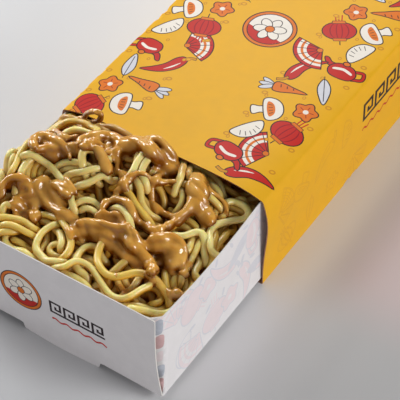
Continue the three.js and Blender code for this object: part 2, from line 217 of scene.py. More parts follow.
class Shader:
    """A material's node tree, with short ways to add nodes to it."""

    def __init__(self, name):
        self.material = bpy.data.materials.new(name)
        self.material.use_nodes = True
        self.tree = self.material.node_tree
        self.surface = self.tree.nodes["Principled BSDF"]

    def node(self, kind, settings=None, **values):
        made = self.tree.nodes.new(kind)
        for name, value in (settings or {}).items():
            setattr(made, name, value)
        for name, value in values.items():
            self.put(made, name.replace("_", " "), value)
        return made

    def put(self, node, socket, value):
        target = node.inputs[socket]
        if isinstance(value, bpy.types.NodeSocket):
            self.tree.links.new(value, target)
        else:
            target.default_value = value

    def set(self, **values):
        for name, value in values.items():
            self.put(self.surface, name.replace("_", " "), value)

    def place(self):
        return self.node("ShaderNodeNewGeometry").outputs["Position"]

    def noise(self, scale, detail=3.0, roughness=0.55, vector=None):
        made = self.node("ShaderNodeTexNoise", Scale=scale, Detail=detail, Roughness=roughness)
        self.put(made, "Vector", vector or self.place())
        return made.outputs["Fac"]

    def ramp(self, value, stops):
        made = self.node("ShaderNodeValToRGB", Fac=value)
        band = made.color_ramp
        while len(band.elements) < len(stops):
            band.elements.new(0.5)
        for element, (at, colour) in zip(band.elements, stops):
            element.position = at
            element.color = colour
        return made.outputs["Color"]

    def span(self, value, low, high):
        """From low to high as a value goes from 0 to 1."""
        made = self.node("ShaderNodeMapRange", Value=value)
        made.inputs["To Min"].default_value = low
        made.inputs["To Max"].default_value = high
        return made.outputs["Result"]

    def rise(self, value, low, high):
        """From 0 to 1 as a value goes from low to high, with soft ends."""
        made = self.node("ShaderNodeMapRange", {"interpolation_type": "SMOOTHSTEP"}, Value=value)
        made.inputs["From Min"].default_value = low
        made.inputs["From Max"].default_value = high
        return made.outputs["Result"]

    def mix(self, factor, first, second):
        """A mix of two colours. The numbers are those of the mix node's factor and colours."""
        made = self.node("ShaderNodeMix", {"data_type": "RGBA"})
        for socket, value in ((0, factor), (6, first), (7, second)):
            self.put(made, socket, value)
        return made.outputs[2]

    def times(self, first, second):
        made = self.node("ShaderNodeMath", {"operation": "MULTIPLY"})
        self.put(made, 0, first)
        self.put(made, 1, second)
        return made.outputs[0]

    def attribute(self, name):
        return self.node("ShaderNodeAttribute", {"attribute_name": name}).outputs["Fac"]

    def bump(self, height, distance, strength=1.0, below=None):
        made = self.node("ShaderNodeBump", Height=height, Distance=distance, Strength=strength)
        if below is not None:
            self.put(made, "Normal", below)
        return made.outputs["Normal"]


def printed_board(name, colour):
    """Coated board under one ink: a faint mottle, pressed fibres and long soft waves."""
    shader = Shader(name)
    mottle = shader.noise(160.0, 4.0)
    darker, lighter = shaded(colour, 0.97), shaded(colour, 1.02)
    base = shader.ramp(mottle, [(0.3, darker), (0.7, lighter)])
    fibres = shader.noise(1900.0, 5.0, 0.7)
    waves = shader.noise(34.0, 2.0, 0.4)
    wavy = shader.bump(waves, 0.0006, 0.5)
    grained = shader.bump(fibres, 0.00003, 0.5, wavy)
    shader.set(Base_Color=base, Normal=grained, Roughness=shader.span(mottle, 0.46, 0.56))
    shader.set(Coat_Weight=0.03, Coat_Roughness=0.3, Specular_IOR_Level=0.12)
    return shader.material


def raw_board(name, colour):
    """Uncoated board, as on the cut edges and the inner faces: matt, with visible fibres."""
    shader = Shader(name)
    stretched = shader.node("ShaderNodeVectorMath", {"operation": "MULTIPLY"})
    shader.put(stretched, 0, shader.place())
    shader.put(stretched, 1, (900.0, 260.0, 900.0))
    strands = shader.noise(1.0, 5.0, 0.7, stretched.outputs["Vector"])
    cloud = shader.noise(90.0, 3.0)
    darker = shaded(colour, 0.86)
    base = shader.mix(shader.span(strands, 0.0, 0.55), colour, darker)
    base = shader.mix(shader.span(cloud, 0.0, 0.3), base, darker)
    shader.set(Base_Color=base, Roughness=0.78, Specular_IOR_Level=0.3)
    shader.set(Normal=shader.bump(strands, 0.00005, 0.6))
    return shader.material


def noodle_material():
    """Moist wheat noodles: yellow, browner where sauce has stained them; painted shade darkens their
    undersides and the strands deep in the heap, and painted light makes some strands paler.
    """
    shader = Shader("noodle_dough")
    mottle = shader.noise(420.0, 4.0)
    dough = shader.ramp(mottle, [(0.25, linear(249, 224, 122)), (0.75, linear(254, 242, 168))])
    tinted = shader.mix(shader.attribute("tint"), dough, linear(240, 204, 92))
    # Painted shade: the downward-facing sides of each strand, read from "under", are mixed towards a dark
    # ochre.
    painted_underside_shade = shader.mix(shader.attribute("under"), tinted, linear(206, 148, 14))
    # Painted light: the strands marked "pale" are made a brighter cream.
    painted_pale_light = shader.mix(shader.attribute("pale"), painted_underside_shade, linear(255, 236, 162))
    # Painted shade: deeper in the heap and under other strands the colour turns darker and browner.
    deep = shader.mix(shader.attribute("deep"), painted_pale_light, linear(180, 108, 0))
    patches = shader.noise(210.0, 3.0)
    stain_share = shader.times(shader.attribute("stain"), shader.span(patches, 0.25, 1.25))
    stained = shader.mix(stain_share, deep, linear(202, 140, 58))
    pits = shader.noise(1500.0, 4.0, 0.65)
    lumps = shader.noise(240.0, 2.0)
    lumpy = shader.bump(lumps, 0.0005, 0.5)
    shader.set(Base_Color=stained, Normal=shader.bump(pits, 0.00006, 0.5, lumpy))
    shader.set(Roughness=shader.span(patches, 0.26, 0.46), Specular_IOR_Level=0.5)
    shader.set(Subsurface_Weight=0.5, Subsurface_Radius=(1.0, 0.66, 0.22), Subsurface_Scale=0.0026)
    shader.set(Coat_Weight=0.25, Coat_Roughness=0.2)
    return shader.material


def sauce_material():
    """Thick caramel-brown sauce: opaque and glossy, with painted shade that darkens the undersides and
    valleys of its folds.
    """
    shader = Shader("sauce_gravy")
    cloud = shader.noise(130.0, 3.0)
    sauce_tone = shader.ramp(cloud, [(0.3, linear(214, 148, 50)), (0.7, linear(240, 184, 90))])
    # Painted shade: where "low" is high, on undersides and in valleys, the sauce is mixed towards a dark
    # brown.
    base = shader.mix(shader.attribute("low"), sauce_tone, linear(122, 62, 0))
    ripples = shader.noise(150.0, 2.0, 0.4)
    shader.set(Base_Color=base, Normal=shader.bump(ripples, 0.0005, 0.5))
    shader.set(Roughness=shader.span(cloud, 0.2, 0.3), Specular_IOR_Level=0.5)
    shader.set(Subsurface_Weight=0.2, Subsurface_Radius=(1.0, 0.5, 0.18), Subsurface_Scale=0.0014)
    shader.set(Coat_Weight=0.8, Coat_Roughness=0.1)
    return shader.material


def bed_material():
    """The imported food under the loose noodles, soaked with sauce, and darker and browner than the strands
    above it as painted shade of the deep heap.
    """
    shader = Shader("soaked_shaded_bed")
    cloud = shader.noise(240.0, 4.0)
    base = shader.ramp(cloud, [(0.25, linear(156, 92, 4)), (0.75, linear(196, 138, 30))])
    shader.set(Base_Color=base, Roughness=shader.span(cloud, 0.25, 0.45), Specular_IOR_Level=0.5)
    shader.set(Normal=shader.bump(shader.noise(700.0, 3.0), 0.00012, 0.6))
    return shader.material


def floor_material():
    """A pale table with painted light and shade: brighter beside the tray as painted bounce light, darker far
    to its right as painted shade, and warmer there beside the sleeve as a painted yellow reflection.
    """
    shader = Shader("table_top")
    cloud = shader.noise(9.0, 3.0)
    grain = shader.noise(2400.0, 4.0, 0.7)
    pale = shader.ramp(cloud, [(0.2, linear(207, 208, 210)), (0.8, linear(213, 214, 216))])
    place = shader.node("ShaderNodeSeparateXYZ", Vector=shader.place())
    across, along = place.outputs["X"], place.outputs["Y"]
    # Painted light: the table is made brighter beside the tray.
    painted_tray_bounce = shader.mix(shader.rise(across, 0.0, 0.05), pale, linear(225, 225, 227))
    # Painted shade: the table is made darker far to the right.
    dark = shader.mix(shader.rise(across, 0.062, 0.1), painted_tray_bounce, linear(177, 177, 178))
    # Painted reflection: a warm tint beside the sleeve, as if its yellow side lit the table.
    painted_sleeve_bounce = shader.times(shader.rise(across, 0.062, 0.09), shader.rise(along, -0.07, -0.03))
    base = shader.mix(painted_sleeve_bounce, dark, linear(196, 180, 181))
    shader.set(Base_Color=base, Roughness=shader.span(grain, 0.36, 0.46), Specular_IOR_Level=0.4)
    shader.set(Normal=shader.bump(grain, 0.00005, 0.4))
    return shader.material


INKS = {
    "white": linear(229, 226, 227),
    "yellow": linear(233, 175, 35),
    "red": linear(196, 42, 34),
    "deep_red": linear(150, 26, 34),
    "cream": linear(240, 232, 220),
    "dark": linear(48, 36, 40),
    "orange": linear(224, 118, 36),
    "ochre": linear(206, 142, 38),
    "tone": linear(222, 160, 46),
    "blush": linear(230, 217, 219),
    "mist": linear(214, 214, 220),
    "rose": linear(206, 170, 170),
    "slate": linear(184, 188, 198),
}
made_inks = {}


def ink_material(name):
    if name not in made_inks:
        made_inks[name] = printed_board("ink_" + name, INKS[name])
    return made_inks[name]


# ---------------------------------------------------------------------------
# Print: flat motifs as polygons, each with its ink
# ---------------------------------------------------------------------------


def ellipse(x, y, reach_x, reach_y, turn=0.0, count=26):
    angle = np.linspace(0, 2 * math.pi, count, endpoint=False)
    flat = np.stack([reach_x * np.cos(angle), reach_y * np.sin(angle)], 1)
    return turned(flat, turn) + (x, y)


def turned(points, degrees):
    """Points turned clockwise about the origin."""
    angle = math.radians(degrees)
    spin = np.array([[math.cos(angle), math.sin(angle)], [-math.sin(angle), math.cos(angle)]])
    return np.asarray(points, float) @ spin


def smooth_loop(points, per=5):
    """A closed Catmull-Rom line through points."""
    p = np.asarray(points, float)
    share = np.arange(per)[:, None] / per
    runs = []
    for i in range(len(p)):
        a, b, c, d = (p[(i + k) % len(p)] for k in (-1, 0, 1, 2))
        runs.append(catmull(a, b, c, d, share))
    return np.concatenate(runs)


def catmull(a, b, c, d, share):
    """Points between b and c of the smooth line through a, b, c and d."""
    square, cube = share**2, share**3
    curved = (2 * a - 5 * b + 4 * c - d) * square
    twisted = (3 * b - a - 3 * c + d) * cube
    return 0.5 * (2 * b + (c - a) * share + curved + twisted)


def smooth_line(points, per=6):
    """An open Catmull-Rom line through points, of any dimension."""
    p = np.asarray(points, float)
    p = np.concatenate([[2 * p[0] - p[1]], p, [2 * p[-1] - p[-2]]])
    share = np.arange(per)[:, None] / per
    runs = [catmull(*p[i : i + 4], share) for i in range(len(p) - 3)]
    return np.concatenate(runs + [p[-2:-1]])


def stroke(points, width):
    """The outline of a line of that width through points, with mitred turns."""
    p = np.asarray(points, float)
    ahead = np.diff(p, axis=0)
    ahead /= np.linalg.norm(ahead, axis=1)[:, None]
    normal = np.stack([-ahead[:, 1], ahead[:, 0]], 1)
    before = np.concatenate([normal[:1], normal])
    after = np.concatenate([normal, normal[-1:]])
    middle = before + after
    middle /= np.maximum(0.35, np.einsum("ij,ij->i", middle, before))[:, None]
    aside = middle * width / 2
    return np.concatenate([p + aside, (p - aside)[::-1]])


def grown(loop, by):
    """A loop moved outwards by a distance, or inwards by a negative one."""
    p = np.asarray(loop, float)
    nxt = np.roll(p, -1, 0)
    area = np.sum(p[:, 0] * nxt[:, 1] - nxt[:, 0] * p[:, 1])
    ahead = nxt - p
    ahead /= np.maximum(1e-9, np.linalg.norm(ahead, axis=1))[:, None]
    normal = np.stack([ahead[:, 1], -ahead[:, 0]], 1) * np.sign(area)
    middle = normal + np.roll(normal, 1, 0)
    middle /= np.maximum(0.5, np.einsum("ij,ij->i", middle, normal))[:, None]
    return p + middle * by


def lined(loop, ink, line=0.62):
    """A filled loop with a dark line round it."""
    return [(grown(loop, line), "dark"), (loop, ink)]


def lantern():
    shapes = [(stroke([(0, 8.5), (0, 11.5)], 0.6), "dark")]
    shapes += lined(ellipse(0, 0, 9, 7), "red")
    shapes += [(ellipse(0, 0, 5.4, 7), "deep_red"), (ellipse(0, 0, 4.7, 6.9), "red")]
    shapes += [(ellipse(0, 0, 1.9, 6.9), "deep_red"), (ellipse(0, 0, 1.3, 6.8), "red")]
    for end in (-1, 1):
        cap = [(-3.6, end * 6.2), (3.6, end * 6.2), (3.2, end * 8), (-3.2, end * 8)]
        shapes += lined(cap, "orange", 0.35)
    shapes += [(stroke([(x, -8.3), (x * 1.25, -13)], 0.7), "red") for x in (-1.6, 0, 1.6)]
    return shapes


def fan():
    angles = np.radians(np.linspace(28, 152, 17))

    def band(inner, outer):
        arc = np.stack([np.cos(angles), np.sin(angles)], 1)
        return np.concatenate([arc * outer, arc[::-1] * inner])

    shapes = lined(band(1.2, 15), "red")
    shapes += [(band(8.2, 13.2), "cream"), (band(10, 11.4), "orange")]
    for angle in angles[1:-1:3]:
        tip = np.array([math.cos(angle), math.sin(angle)])
        shapes.append((stroke([tip * 1.5, tip * 14.6], 0.4), "dark"))
    shapes += lined(ellipse(0, 1.2, 1.5, 1.5, 0, 14), "orange", 0.35)
    return shapes


def chilli():
    back = [(-11, 3.4), (-5, 5.6), (2, 4.4), (8, 0.6), (12.5, -5)]
    body = smooth_loop(back + [(7.4, -2.8), (0, -0.8), (-7, -1.4), (-11, 0)])
    shine = smooth_loop([(-7.5, 3), (-2, 3.6), (3, 2.2), (-2, 2.5)], 4)
    stalk = stroke(smooth_line([(-10.4, 1.6), (-13.4, 2.6), (-15.6, 5)], 4), 1.5)
    return lined(body, "red") + [(shine, "cream"), (grown(stalk, 0.3), "dark"), (stalk, "ochre")]


def mushroom():
    cap = smooth_loop([(-8, 0), (-7, 4.6), (-3, 7.6), (3, 7.6), (7, 4.6), (8, 0), (5, -1.8), (-5, -1.8)])
    stem = smooth_loop([(-2.2, 0), (2.2, 0), (2, -4), (2.8, -8), (-2.8, -8), (-2, -4)], 4)
    inner = smooth_loop([(-5.6, 0.6), (-3, 3.6), (3, 3.6), (5.6, 0.6), (0, -0.4)], 4)
    gills = [(stroke([(x, 0.6), (x * 0.8, 2.8)], 0.35), "dark") for x in (-3.4, -1.2, 1.2, 3.4)]
    return lined(stem, "cream") + lined(cap, "cream") + [(inner, "orange")] + gills


def flower():
    angle = np.linspace(0, 2 * math.pi, 50, endpoint=False)
    reach = 5.6 * (1 + 0.16 * np.cos(5 * angle))
    petals = np.stack([reach * np.cos(angle), reach * np.sin(angle)], 1)
    shapes = lined(petals, "orange")
    for turn in range(5):
        rib = turned([(1.9, 0), (4.2, 0)], 72 * turn)
        shapes.append((stroke(rib, 0.4), "deep_red"))
    return shapes + [(ellipse(0, 0, 1.5, 1.5, 0, 14), "cream")]


def dumpling():
    body = smooth_loop([(-9, -2.6), (-7, 1.8), (-3, 4.4), (2, 4.6), (6.6, 2.4), (9, -2.6), (4, -4), (-4, -4)])
    shapes = lined(body, "cream")
    for x in (-5.4, -2.6, 0.2, 3, 5.6):
        top = 4.0 - 0.07 * x * x
        shapes.append((stroke([(x, top), (x * 0.75 - 0.3, top - 2.9)], 0.4), "dark"))
    return shapes


def teapot():
    body = smooth_loop([(-7.5, 0), (-5, 4.6), (0, 5.8), (5, 4.6), (7.5, 0), (4.5, -4.4), (-4.5, -4.4)])
    spout = smooth_loop([(-6, 2), (-9.5, 2.6), (-12.4, 6.4), (-10.6, 6.8), (-8, 4.6), (-5, 4)], 4)
    handle = stroke(smooth_line([(6.4, 3.6), (10.6, 4.6), (11.4, 0), (6.6, -2.6)], 5), 1.4)
    shapes = lined(spout, "red") + [(grown(handle, 0.5), "dark"), (handle, "red")] + lined(body, "red")
    shapes += [(smooth_loop([(-5, 1.6), (0, 3), (5, 1.6), (5, 0), (0, 1.2), (-5, 0)], 4), "cream")]
    return shapes + lined(ellipse(0, 6.6, 1.7, 1.3, 0, 14), "orange")


def carrot():
    root = smooth_loop([(-6.5, 2.6), (-3, 3.4), (4, 1.6), (11, 0), (4, -1.6), (-3, -3.4), (-6.5, -2.6)], 4)
    shapes = []
    for turn in (-28, 0, 28):
        frond = turned(ellipse(-4, 0, 4.2, 1.3, 0, 16), turn) + (-6.4, 0)
        shapes += lined(frond, "mist", 0.5)
    shapes += lined(root, "orange")
    return shapes + [(stroke([(x, 1.9 - 0.1 * x), (x + 0.6, 0)], 0.5), "dark") for x in (-3.5, 0, 3.5)]


def leaf():
    blade = smooth_loop([(-9, 0), (-4, 2.9), (2, 2.7), (9, 0), (2, -2.7), (-4, -2.9)])
    vein = stroke([(-11.5, 0), (7, 0)], 0.45)
    return lined(blade, "mist") + [(vein, "dark")]


def dot():
    return [(ellipse(0, 0, 1.5, 1.2, 20, 14), "ochre"), (ellipse(0, 0, 0.8, 0.55, 20, 12), "yellow")]


def badge():
    """A round blossom badge on its own ground."""
    shapes = lined(ellipse(0, 0, 10.4, 10.4, 0, 48), "orange", 0.5)
    shapes += [(ellipse(0, 0, 9.2, 9.2, 0, 44), "dark"), (ellipse(0, 0, 8.8, 8.8, 0, 44), "cream")]
    half = np.radians(np.linspace(200, 340, 19))
    shapes.append((8.8 * np.stack([np.cos(half), np.sin(half)], 1), "red"))
    for turn in range(6):
        petal = ellipse(0, 3.6, 1.9, 2.9, 0, 18)
        shapes += [(turned(grown(petal, 0.35), 60 * turn), "dark"), (turned(petal, 60 * turn), "cream")]
    return shapes + lined(ellipse(0, 0, 1.7, 1.7, 0, 16), "orange", 0.35)


def fret(units, size, ink):
    """A row of square spirals, joined along the bottom."""
    path = [(0, 0), (0, 1), (0.8, 1), (0.8, 0.36), (0.4, 0.36), (0.4, 0.64)]
    shapes = []
    for unit in range(units):
        line = np.array(path) * size + (unit * size * 1.16, 0)
        shapes.append((stroke(line, 0.19 * size), ink))
    foot = [(-0.095 * size, 0), ((1.16 * units - 0.2) * size, 0)]
    return shapes + [(stroke(foot, 0.19 * size), ink)]


def wave(length, swing, width, ink):
    x = np.linspace(0, length, 4 * int(length / 3) + 1)
    line = np.stack([x, swing * np.sin(x * 2 * math.pi / 6)], 1)
    return [(stroke(line, width), ink)]


def outlines(shapes, ink, ground, line=0.35):
    """The same motif as thin lines of one ink on its ground."""
    made = []
    for loop, _ in shapes:
        made += [(grown(loop, line / 2), ink), (grown(loop, -line / 2), ground)]
    return made


def faded(shapes):
    """The same motif in the faint inks of a print that only half shows."""
    faint = {"dark": "mist", "red": "blush", "deep_red": "blush", "orange": "blush", "cream": "white"}
    return [(loop, faint.get(ink, "mist")) for loop, ink in shapes]


def placed(shapes, x, y, turn=0.0, size=1.0):
    return [(turned(loop, turn) * size + (x, y), ink) for loop, ink in shapes]


# ---------------------------------------------------------------------------
# Board: a printed sheet, cut into triangles along its print
# ---------------------------------------------------------------------------


def inside(points, loop):
    """Which points lie inside a loop."""
    found = np.zeros(len(points), bool)
    low, high = loop.min(0), loop.max(0)
    near = np.flatnonzero(((points > low) & (points < high)).all(1))
    if not len(near):
        return found
    x, y = points[near, 0:1], points[near, 1:2]
    x0, y0 = loop[:, 0], loop[:, 1]
    x1, y1 = np.roll(x0, -1), np.roll(y0, -1)
    crosses = (y0 > y) != (y1 > y)
    with np.errstate(divide="ignore", invalid="ignore"):
        at = x0 + (y - y0) * (x1 - x0) / (y1 - y0)
    found[near] = (crosses & (x < at)).sum(1) % 2 == 1
    return found


def cut_sheet(across, along, shapes, outline=None):
    """Triangles of a sheet over a grid of support points, cut along every shape's edge.

    The sheet ends at its outline, or else at the edge of the grid.
    """
    grid = np.stack(np.meshgrid(across, along, indexing="ij"), -1)
    if outline is None:
        outline = np.concatenate([grid[:-1, 0], grid[-1, :-1], grid[:0:-1, -1], grid[0, :0:-1]])
        grid = grid[1:-1, 1:-1].reshape(-1, 2)
    else:
        grid = grid.reshape(-1, 2)
        grid = grid[inside(grid, grown(outline, -0.3))]
    points = [grid]
    edges = []
    count = len(grid)
    loops = [loop for loop, _ in shapes] + [outline]
    for loop in loops:
        points.append(loop)
        edges += [(count + i, count + (i + 1) % len(loop)) for i in range(len(loop))]
        count += len(loop)
    flat = [Vector(p) for p in np.concatenate(points).tolist()]
    made = geometry.delaunay_2d_cdt(flat, edges, [], 0, 1e-5)
    where = np.array([tuple(v) for v in made[0]])
    triangles = np.array(made[2])
    middles = where[triangles].mean(1)
    kept = inside(middles, outline)
    triangles, middles = triangles[kept], middles[kept]
    ink = np.zeros(len(triangles), int)
    names = []
    for loop, name in shapes:
        if name not in names:
            names.append(name)
        ink[inside(middles, loop)] = names.index(name) + 1
    used = np.unique(triangles)
    renumber = np.full(len(where), -1)
    renumber[used] = np.arange(len(used))
    return where[used], renumber[triangles], ink, names


FOLD_REACH = 0.8


def rounded(surface, reach=FOLD_REACH):
    """The same surface with its folds rounded off along s."""
    steps = ((-1.0, 0.125), (-0.5, 0.25), (0.0, 0.25), (0.5, 0.25), (1.0, 0.125))
    return lambda s, t: sum(share * surface(s + step * reach, t) for step, share in steps)


def normals_of(surface, s, t):
    """Unit normals of a surface, from the slopes along s and t."""
    step = 0.05
    down_s = surface(s + step, t) - surface(s - step, t)
    down_t = surface(s, t + step) - surface(s, t - step)
    normal = np.cross(down_t, down_s)
    return normal / np.maximum(1e-9, np.linalg.norm(normal, axis=1))[:, None]


def add_board(name, surface, support, shapes, ground, raw, outline=None, outward=1.0, wrap=None):
    """A sheet of board as one closed mesh: printed outer face, raw inner face and cut edges.

    surface gives the outer face's points for s and t, and support the places along s and t that it is cut at.
    With wrap, s = wrap meets s = 0.
    """
    flat, triangles, ink, names = cut_sheet(*support, shapes, outline)
    s, t = flat.T
    outer = surface(s, t)
    normal = normals_of(surface, s, t) * outward
    inner = outer - normal * BOARD
    if wrap:
        triangles = sewn(flat, triangles, wrap)
    a, b, c = (outer[triangles[:, k]] for k in range(3))
    facing = np.einsum("ij,ij->i", np.cross(b - a, c - a), normal[triangles[:, 0]])
    triangles[facing < 0] = triangles[facing < 0][:, ::-1]
    count = len(outer)
    rims = edge_strips(triangles, count)
    faces = [*triangles.tolist(), *(triangles[:, ::-1] + count).tolist(), *rims]
    points = np.concatenate([outer, inner])
    used, faces = without_unused(points, faces)
    mesh = bpy.data.meshes.new(name)
    mesh.from_pydata((points[used] * MM).tolist(), [], faces)
    looks = [ground, *names]
    for look in looks:
        mesh.materials.append(ink_material(look))
    mesh.materials.append(raw)
    index = np.concatenate([ink, np.full(len(triangles) + len(rims), len(looks))])
    mesh.polygons.foreach_set("material_index", index.astype(np.int32))
    both = np.concatenate([normal, -normal])[used]
    set_normals(mesh, both, len(rims))
    return linked(name, mesh)


def sewn(flat, triangles, wrap):
    """The triangles with each vertex at s = wrap changed for the one at s = 0 and the same t."""
    start = np.flatnonzero(flat[:, 0] < 1e-4)
    end = np.flatnonzero(flat[:, 0] > wrap - 1e-4)
    start = start[np.argsort(flat[start, 1])]
    end = end[np.argsort(flat[end, 1])]
    renumber = np.arange(len(flat))
    renumber[end] = start
    return renumber[triangles]


def edge_strips(triangles, count):
    """Two triangles for each free edge, joining the outer sheet to the inner one."""
    sides = np.concatenate([triangles[:, [0, 1]], triangles[:, [1, 2]], triangles[:, [2, 0]]])
    known = {tuple(side) for side in sides.tolist()}
    strips = []
    for a, b in sides.tolist():
        if (b, a) not in known:
            strips += [(b, a, a + count), (b, a + count, b + count)]
    return strips


def without_unused(points, faces):
    """Which points the faces use, and the faces numbered by those."""
    used = np.unique(np.concatenate([np.asarray(f) for f in faces]))
    renumber = np.full(len(points), -1)
    renumber[used] = np.arange(len(used))
    return used, [tuple(renumber[list(face)].tolist()) for face in faces]


def set_normals(mesh, vertex_normals, rim_faces):
    """Smooth normals on both faces of a board, flat ones on its cut edges, the last rim_faces faces."""
    corners = np.zeros(len(mesh.loops), np.int32)
    mesh.loops.foreach_get("vertex_index", corners)
    normals = vertex_normals[corners]
    flat = np.zeros(len(mesh.polygons) * 3)
    mesh.polygons.foreach_get("normal", flat)
    if rim_faces:
        rim = flat.reshape(-1, 3)[-rim_faces:]
        normals[-3 * rim_faces :] = np.repeat(rim, 3, 0)
    mesh.normals_split_custom_set(normals.tolist())


def clustered(folds, high, pitch):
    """Support places from 0 to high, closer together at each fold."""
    places = list(np.linspace(0, high, 1 + max(1, round(high / pitch))))
    for fold in folds:
        places += [fold + share * FOLD_REACH for share in (-1.5, -1, -0.6, -0.2, 0.2, 0.6, 1, 1.5)]
    kept = []
    for place in sorted(p for p in places if 0 <= p <= high):
        if not kept or place - kept[-1] > 0.2:
            kept.append(place)
    kept[-1] = high
    return np.array(kept)


# ---------------------------------------------------------------------------
# The sleeve
# ---------------------------------------------------------------------------

SLEEVE_AROUND = 4 * SLEEVE_HALF + 2 * SLEEVE_FOLD_Z
RIGHT_FOLD = SLEEVE_HALF
TOP_RIGHT_FOLD = RIGHT_FOLD + SLEEVE_FOLD_Z
TOP_LEFT_FOLD = TOP_RIGHT_FOLD + 2 * SLEEVE_HALF
LEFT_FOLD = TOP_LEFT_FOLD + SLEEVE_FOLD_Z


def sleeve_bend(y):
    """What share of its crown and bulge the sleeve has at y: all of it at the mouth, less behind."""
    return RELAXED_SHARE + (1 - RELAXED_SHARE) * np.exp(-(y - MOUTH) / RELAX_REACH)


def crowned(across, bend):
    """How far the top stands above its folds, for a place from -1 to 1 across it."""
    return bend * SLEEVE_CROWN * (1 - np.abs(across) ** CROWN_POWER)


def sleeve_surface(s, t):
    """The sleeve's outer face. s runs round the section from the middle of the underside, t along y."""
    s = np.mod(s, SLEEVE_AROUND)
    y = MOUTH + t
    bend = sleeve_bend(y)
    x = np.where(s < RIGHT_FOLD, s, s - SLEEVE_AROUND)
    z = np.zeros_like(x)
    for fold, side in ((RIGHT_FOLD, 1), (TOP_LEFT_FOLD, -1)):
        up = (s - fold) / SLEEVE_FOLD_Z
        up = up if side > 0 else 1 - up
        on = (s >= fold) & (s < fold + SLEEVE_FOLD_Z)
        share = np.clip(up, 0, 1)
        bulge = bend * SLEEVE_BULGE * np.sin(np.pi * share**BULGE_POWER)
        x = np.where(on, side * (SLEEVE_HALF + bulge), x)
        z = np.where(on, share * SLEEVE_FOLD_Z, z)
    top = (s >= TOP_RIGHT_FOLD) & (s < TOP_LEFT_FOLD)
    across = np.clip((TOP_RIGHT_FOLD + SLEEVE_HALF - s) / SLEEVE_HALF, -1, 1)
    x = np.where(top, across * SLEEVE_HALF, x)
    z = np.where(top, SLEEVE_FOLD_Z + crowned(across, bend), z)
    return np.stack([x, y, z], 1)


MOTIF_PITCH = 15.2
SIDE_MOTIF_PITCH = 9.6
PLATE_ALONG = 82


def top_band(side, inner, outer):
    """Motifs in two staggered columns along one long edge of the top, as (x, along)."""
    kinds = [lantern, chilli, mushroom, teapot, flower, fan, carrot, dumpling, leaf]
    shapes = []
    for column, x in enumerate((outer, inner)):
        for row in range(13):
            along = 7 + MOTIF_PITCH * row + MOTIF_PITCH / 2 * column
            kind = kinds[(4 * row + 2 * column + (side > 0)) % len(kinds)]
            turn = 67 * row + 140 * column + 30 * side
            shapes += placed(kind(), side * x, along, turn, 0.84)
            shapes += placed(dot(), side * (x + 6.5 * (1 - 2 * column)), along + 8.2)
            shapes += placed(dot(), side * (x - 5), along + 7, 70, 0.7)
    return shapes


def sleeve_print():
    """Motifs on the top and the sides, with a plate of frets on the right side near the mouth."""
    top = top_band(-1, 28, 42) + top_band(1, 25, 39.5)
    top += placed(badge(), -2, 90, -10, 1.15)
    shapes = [(loop * (-1, 1) + (TOP_RIGHT_FOLD + SLEEVE_HALF, 0), ink) for loop, ink in top]
    kinds = [fan, lantern, mushroom, leaf, chilli, flower, dumpling]
    for fold, side in ((RIGHT_FOLD, 1), (TOP_LEFT_FOLD, -1)):
        for i in range(20):
            s = fold + (14 if i % 2 else 37)
            if side > 0 and 8 <= i <= 12:
                continue
            motif = outlines(kinds[i % len(kinds)](), "tone", "yellow")
            shapes += placed(motif, s, 9 + SIDE_MOTIF_PITCH * i, 61 * i, 0.8)
    band = fret(5, 9.0, "dark")
    line = wave(46, 0.9, 1.0, "red")
    for shapes_of, s in ((band, RIGHT_FOLD + 32), (line, RIGHT_FOLD + 25)):
        shapes += [(loop[:, ::-1] + (s, PLATE_ALONG), ink) for loop, ink in shapes_of]
    return shapes


def add_sleeve(raw):
    around = clustered([RIGHT_FOLD, TOP_RIGHT_FOLD, TOP_LEFT_FOLD, LEFT_FOLD], SLEEVE_AROUND, 5.0)
    support = (around, np.linspace(0, SLEEVE_LENGTH, 33))
    skin = rounded(sleeve_surface)
    sleeve = add_board("sleeve_printed", skin, support, sleeve_print(), "yellow", raw, wrap=SLEEVE_AROUND)
    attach(sleeve, "sleeve")
    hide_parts("sleeve")


# ---------------------------------------------------------------------------
# The tray
# ---------------------------------------------------------------------------

FLAP_TURN = HALF_WIDTH - 3.5
CORNER_RUN = 4.0
WALL_START = FLAP_REACH + CORNER_RUN
STRIP_LENGTH = 2 * WALL_START + TRAY_LENGTH
WALL_FOLD_REACH = 0.6
FLAP_TAPER = 0.1
PANEL_HALF = HALF_WIDTH - 0.2
PANEL_FOOT = TRAY_LIFT - 0.2
PANEL_TAPER = 0.018
TAB_KICK = 0.9


def side_strip(side):
    """One side wall with its two corner flaps. s runs from the front flap's end, t is the height."""

    def surface(s, t):
        share = np.clip(t / WALL_HEIGHT, 0, 1)
        slant = LAP + CORNER_FOLD * np.sin(np.pi / 2 * np.minimum(1, 1.25 * share))
        half_way = STRIP_LENGTH / 2
        end = np.where(s > half_way, 1.0, -1.0)
        from_end = np.where(s > half_way, STRIP_LENGTH - s, s)
        corner = np.clip((from_end - FLAP_REACH) / CORNER_RUN, 0, 1)
        beyond = np.clip(from_end - WALL_START, 0, None) / (half_way - WALL_START)
        x = FLAP_TURN - np.clip(FLAP_REACH - from_end, 0, None) + corner * (HALF_WIDTH - FLAP_TURN)
        inward = LAP + corner * (slant - LAP) + beyond * (TRAY_LENGTH / 2 - slant)
        y = np.where(end < 0, FRONT + inward, BACK - inward)
        along = (y - FRONT) / EXPOSED
        bowed = SIDE_BOW * np.sin(np.pi * np.clip(along, 0, 1)) * share * (corner >= 1)
        flap = 1 - FLAP_TAPER * np.clip((FLAP_REACH - from_end) / FLAP_REACH, 0, 1)
        z = TRAY_LIFT + t * flap
        return np.stack([side * (x + bowed), y, z], 1)

    return surface


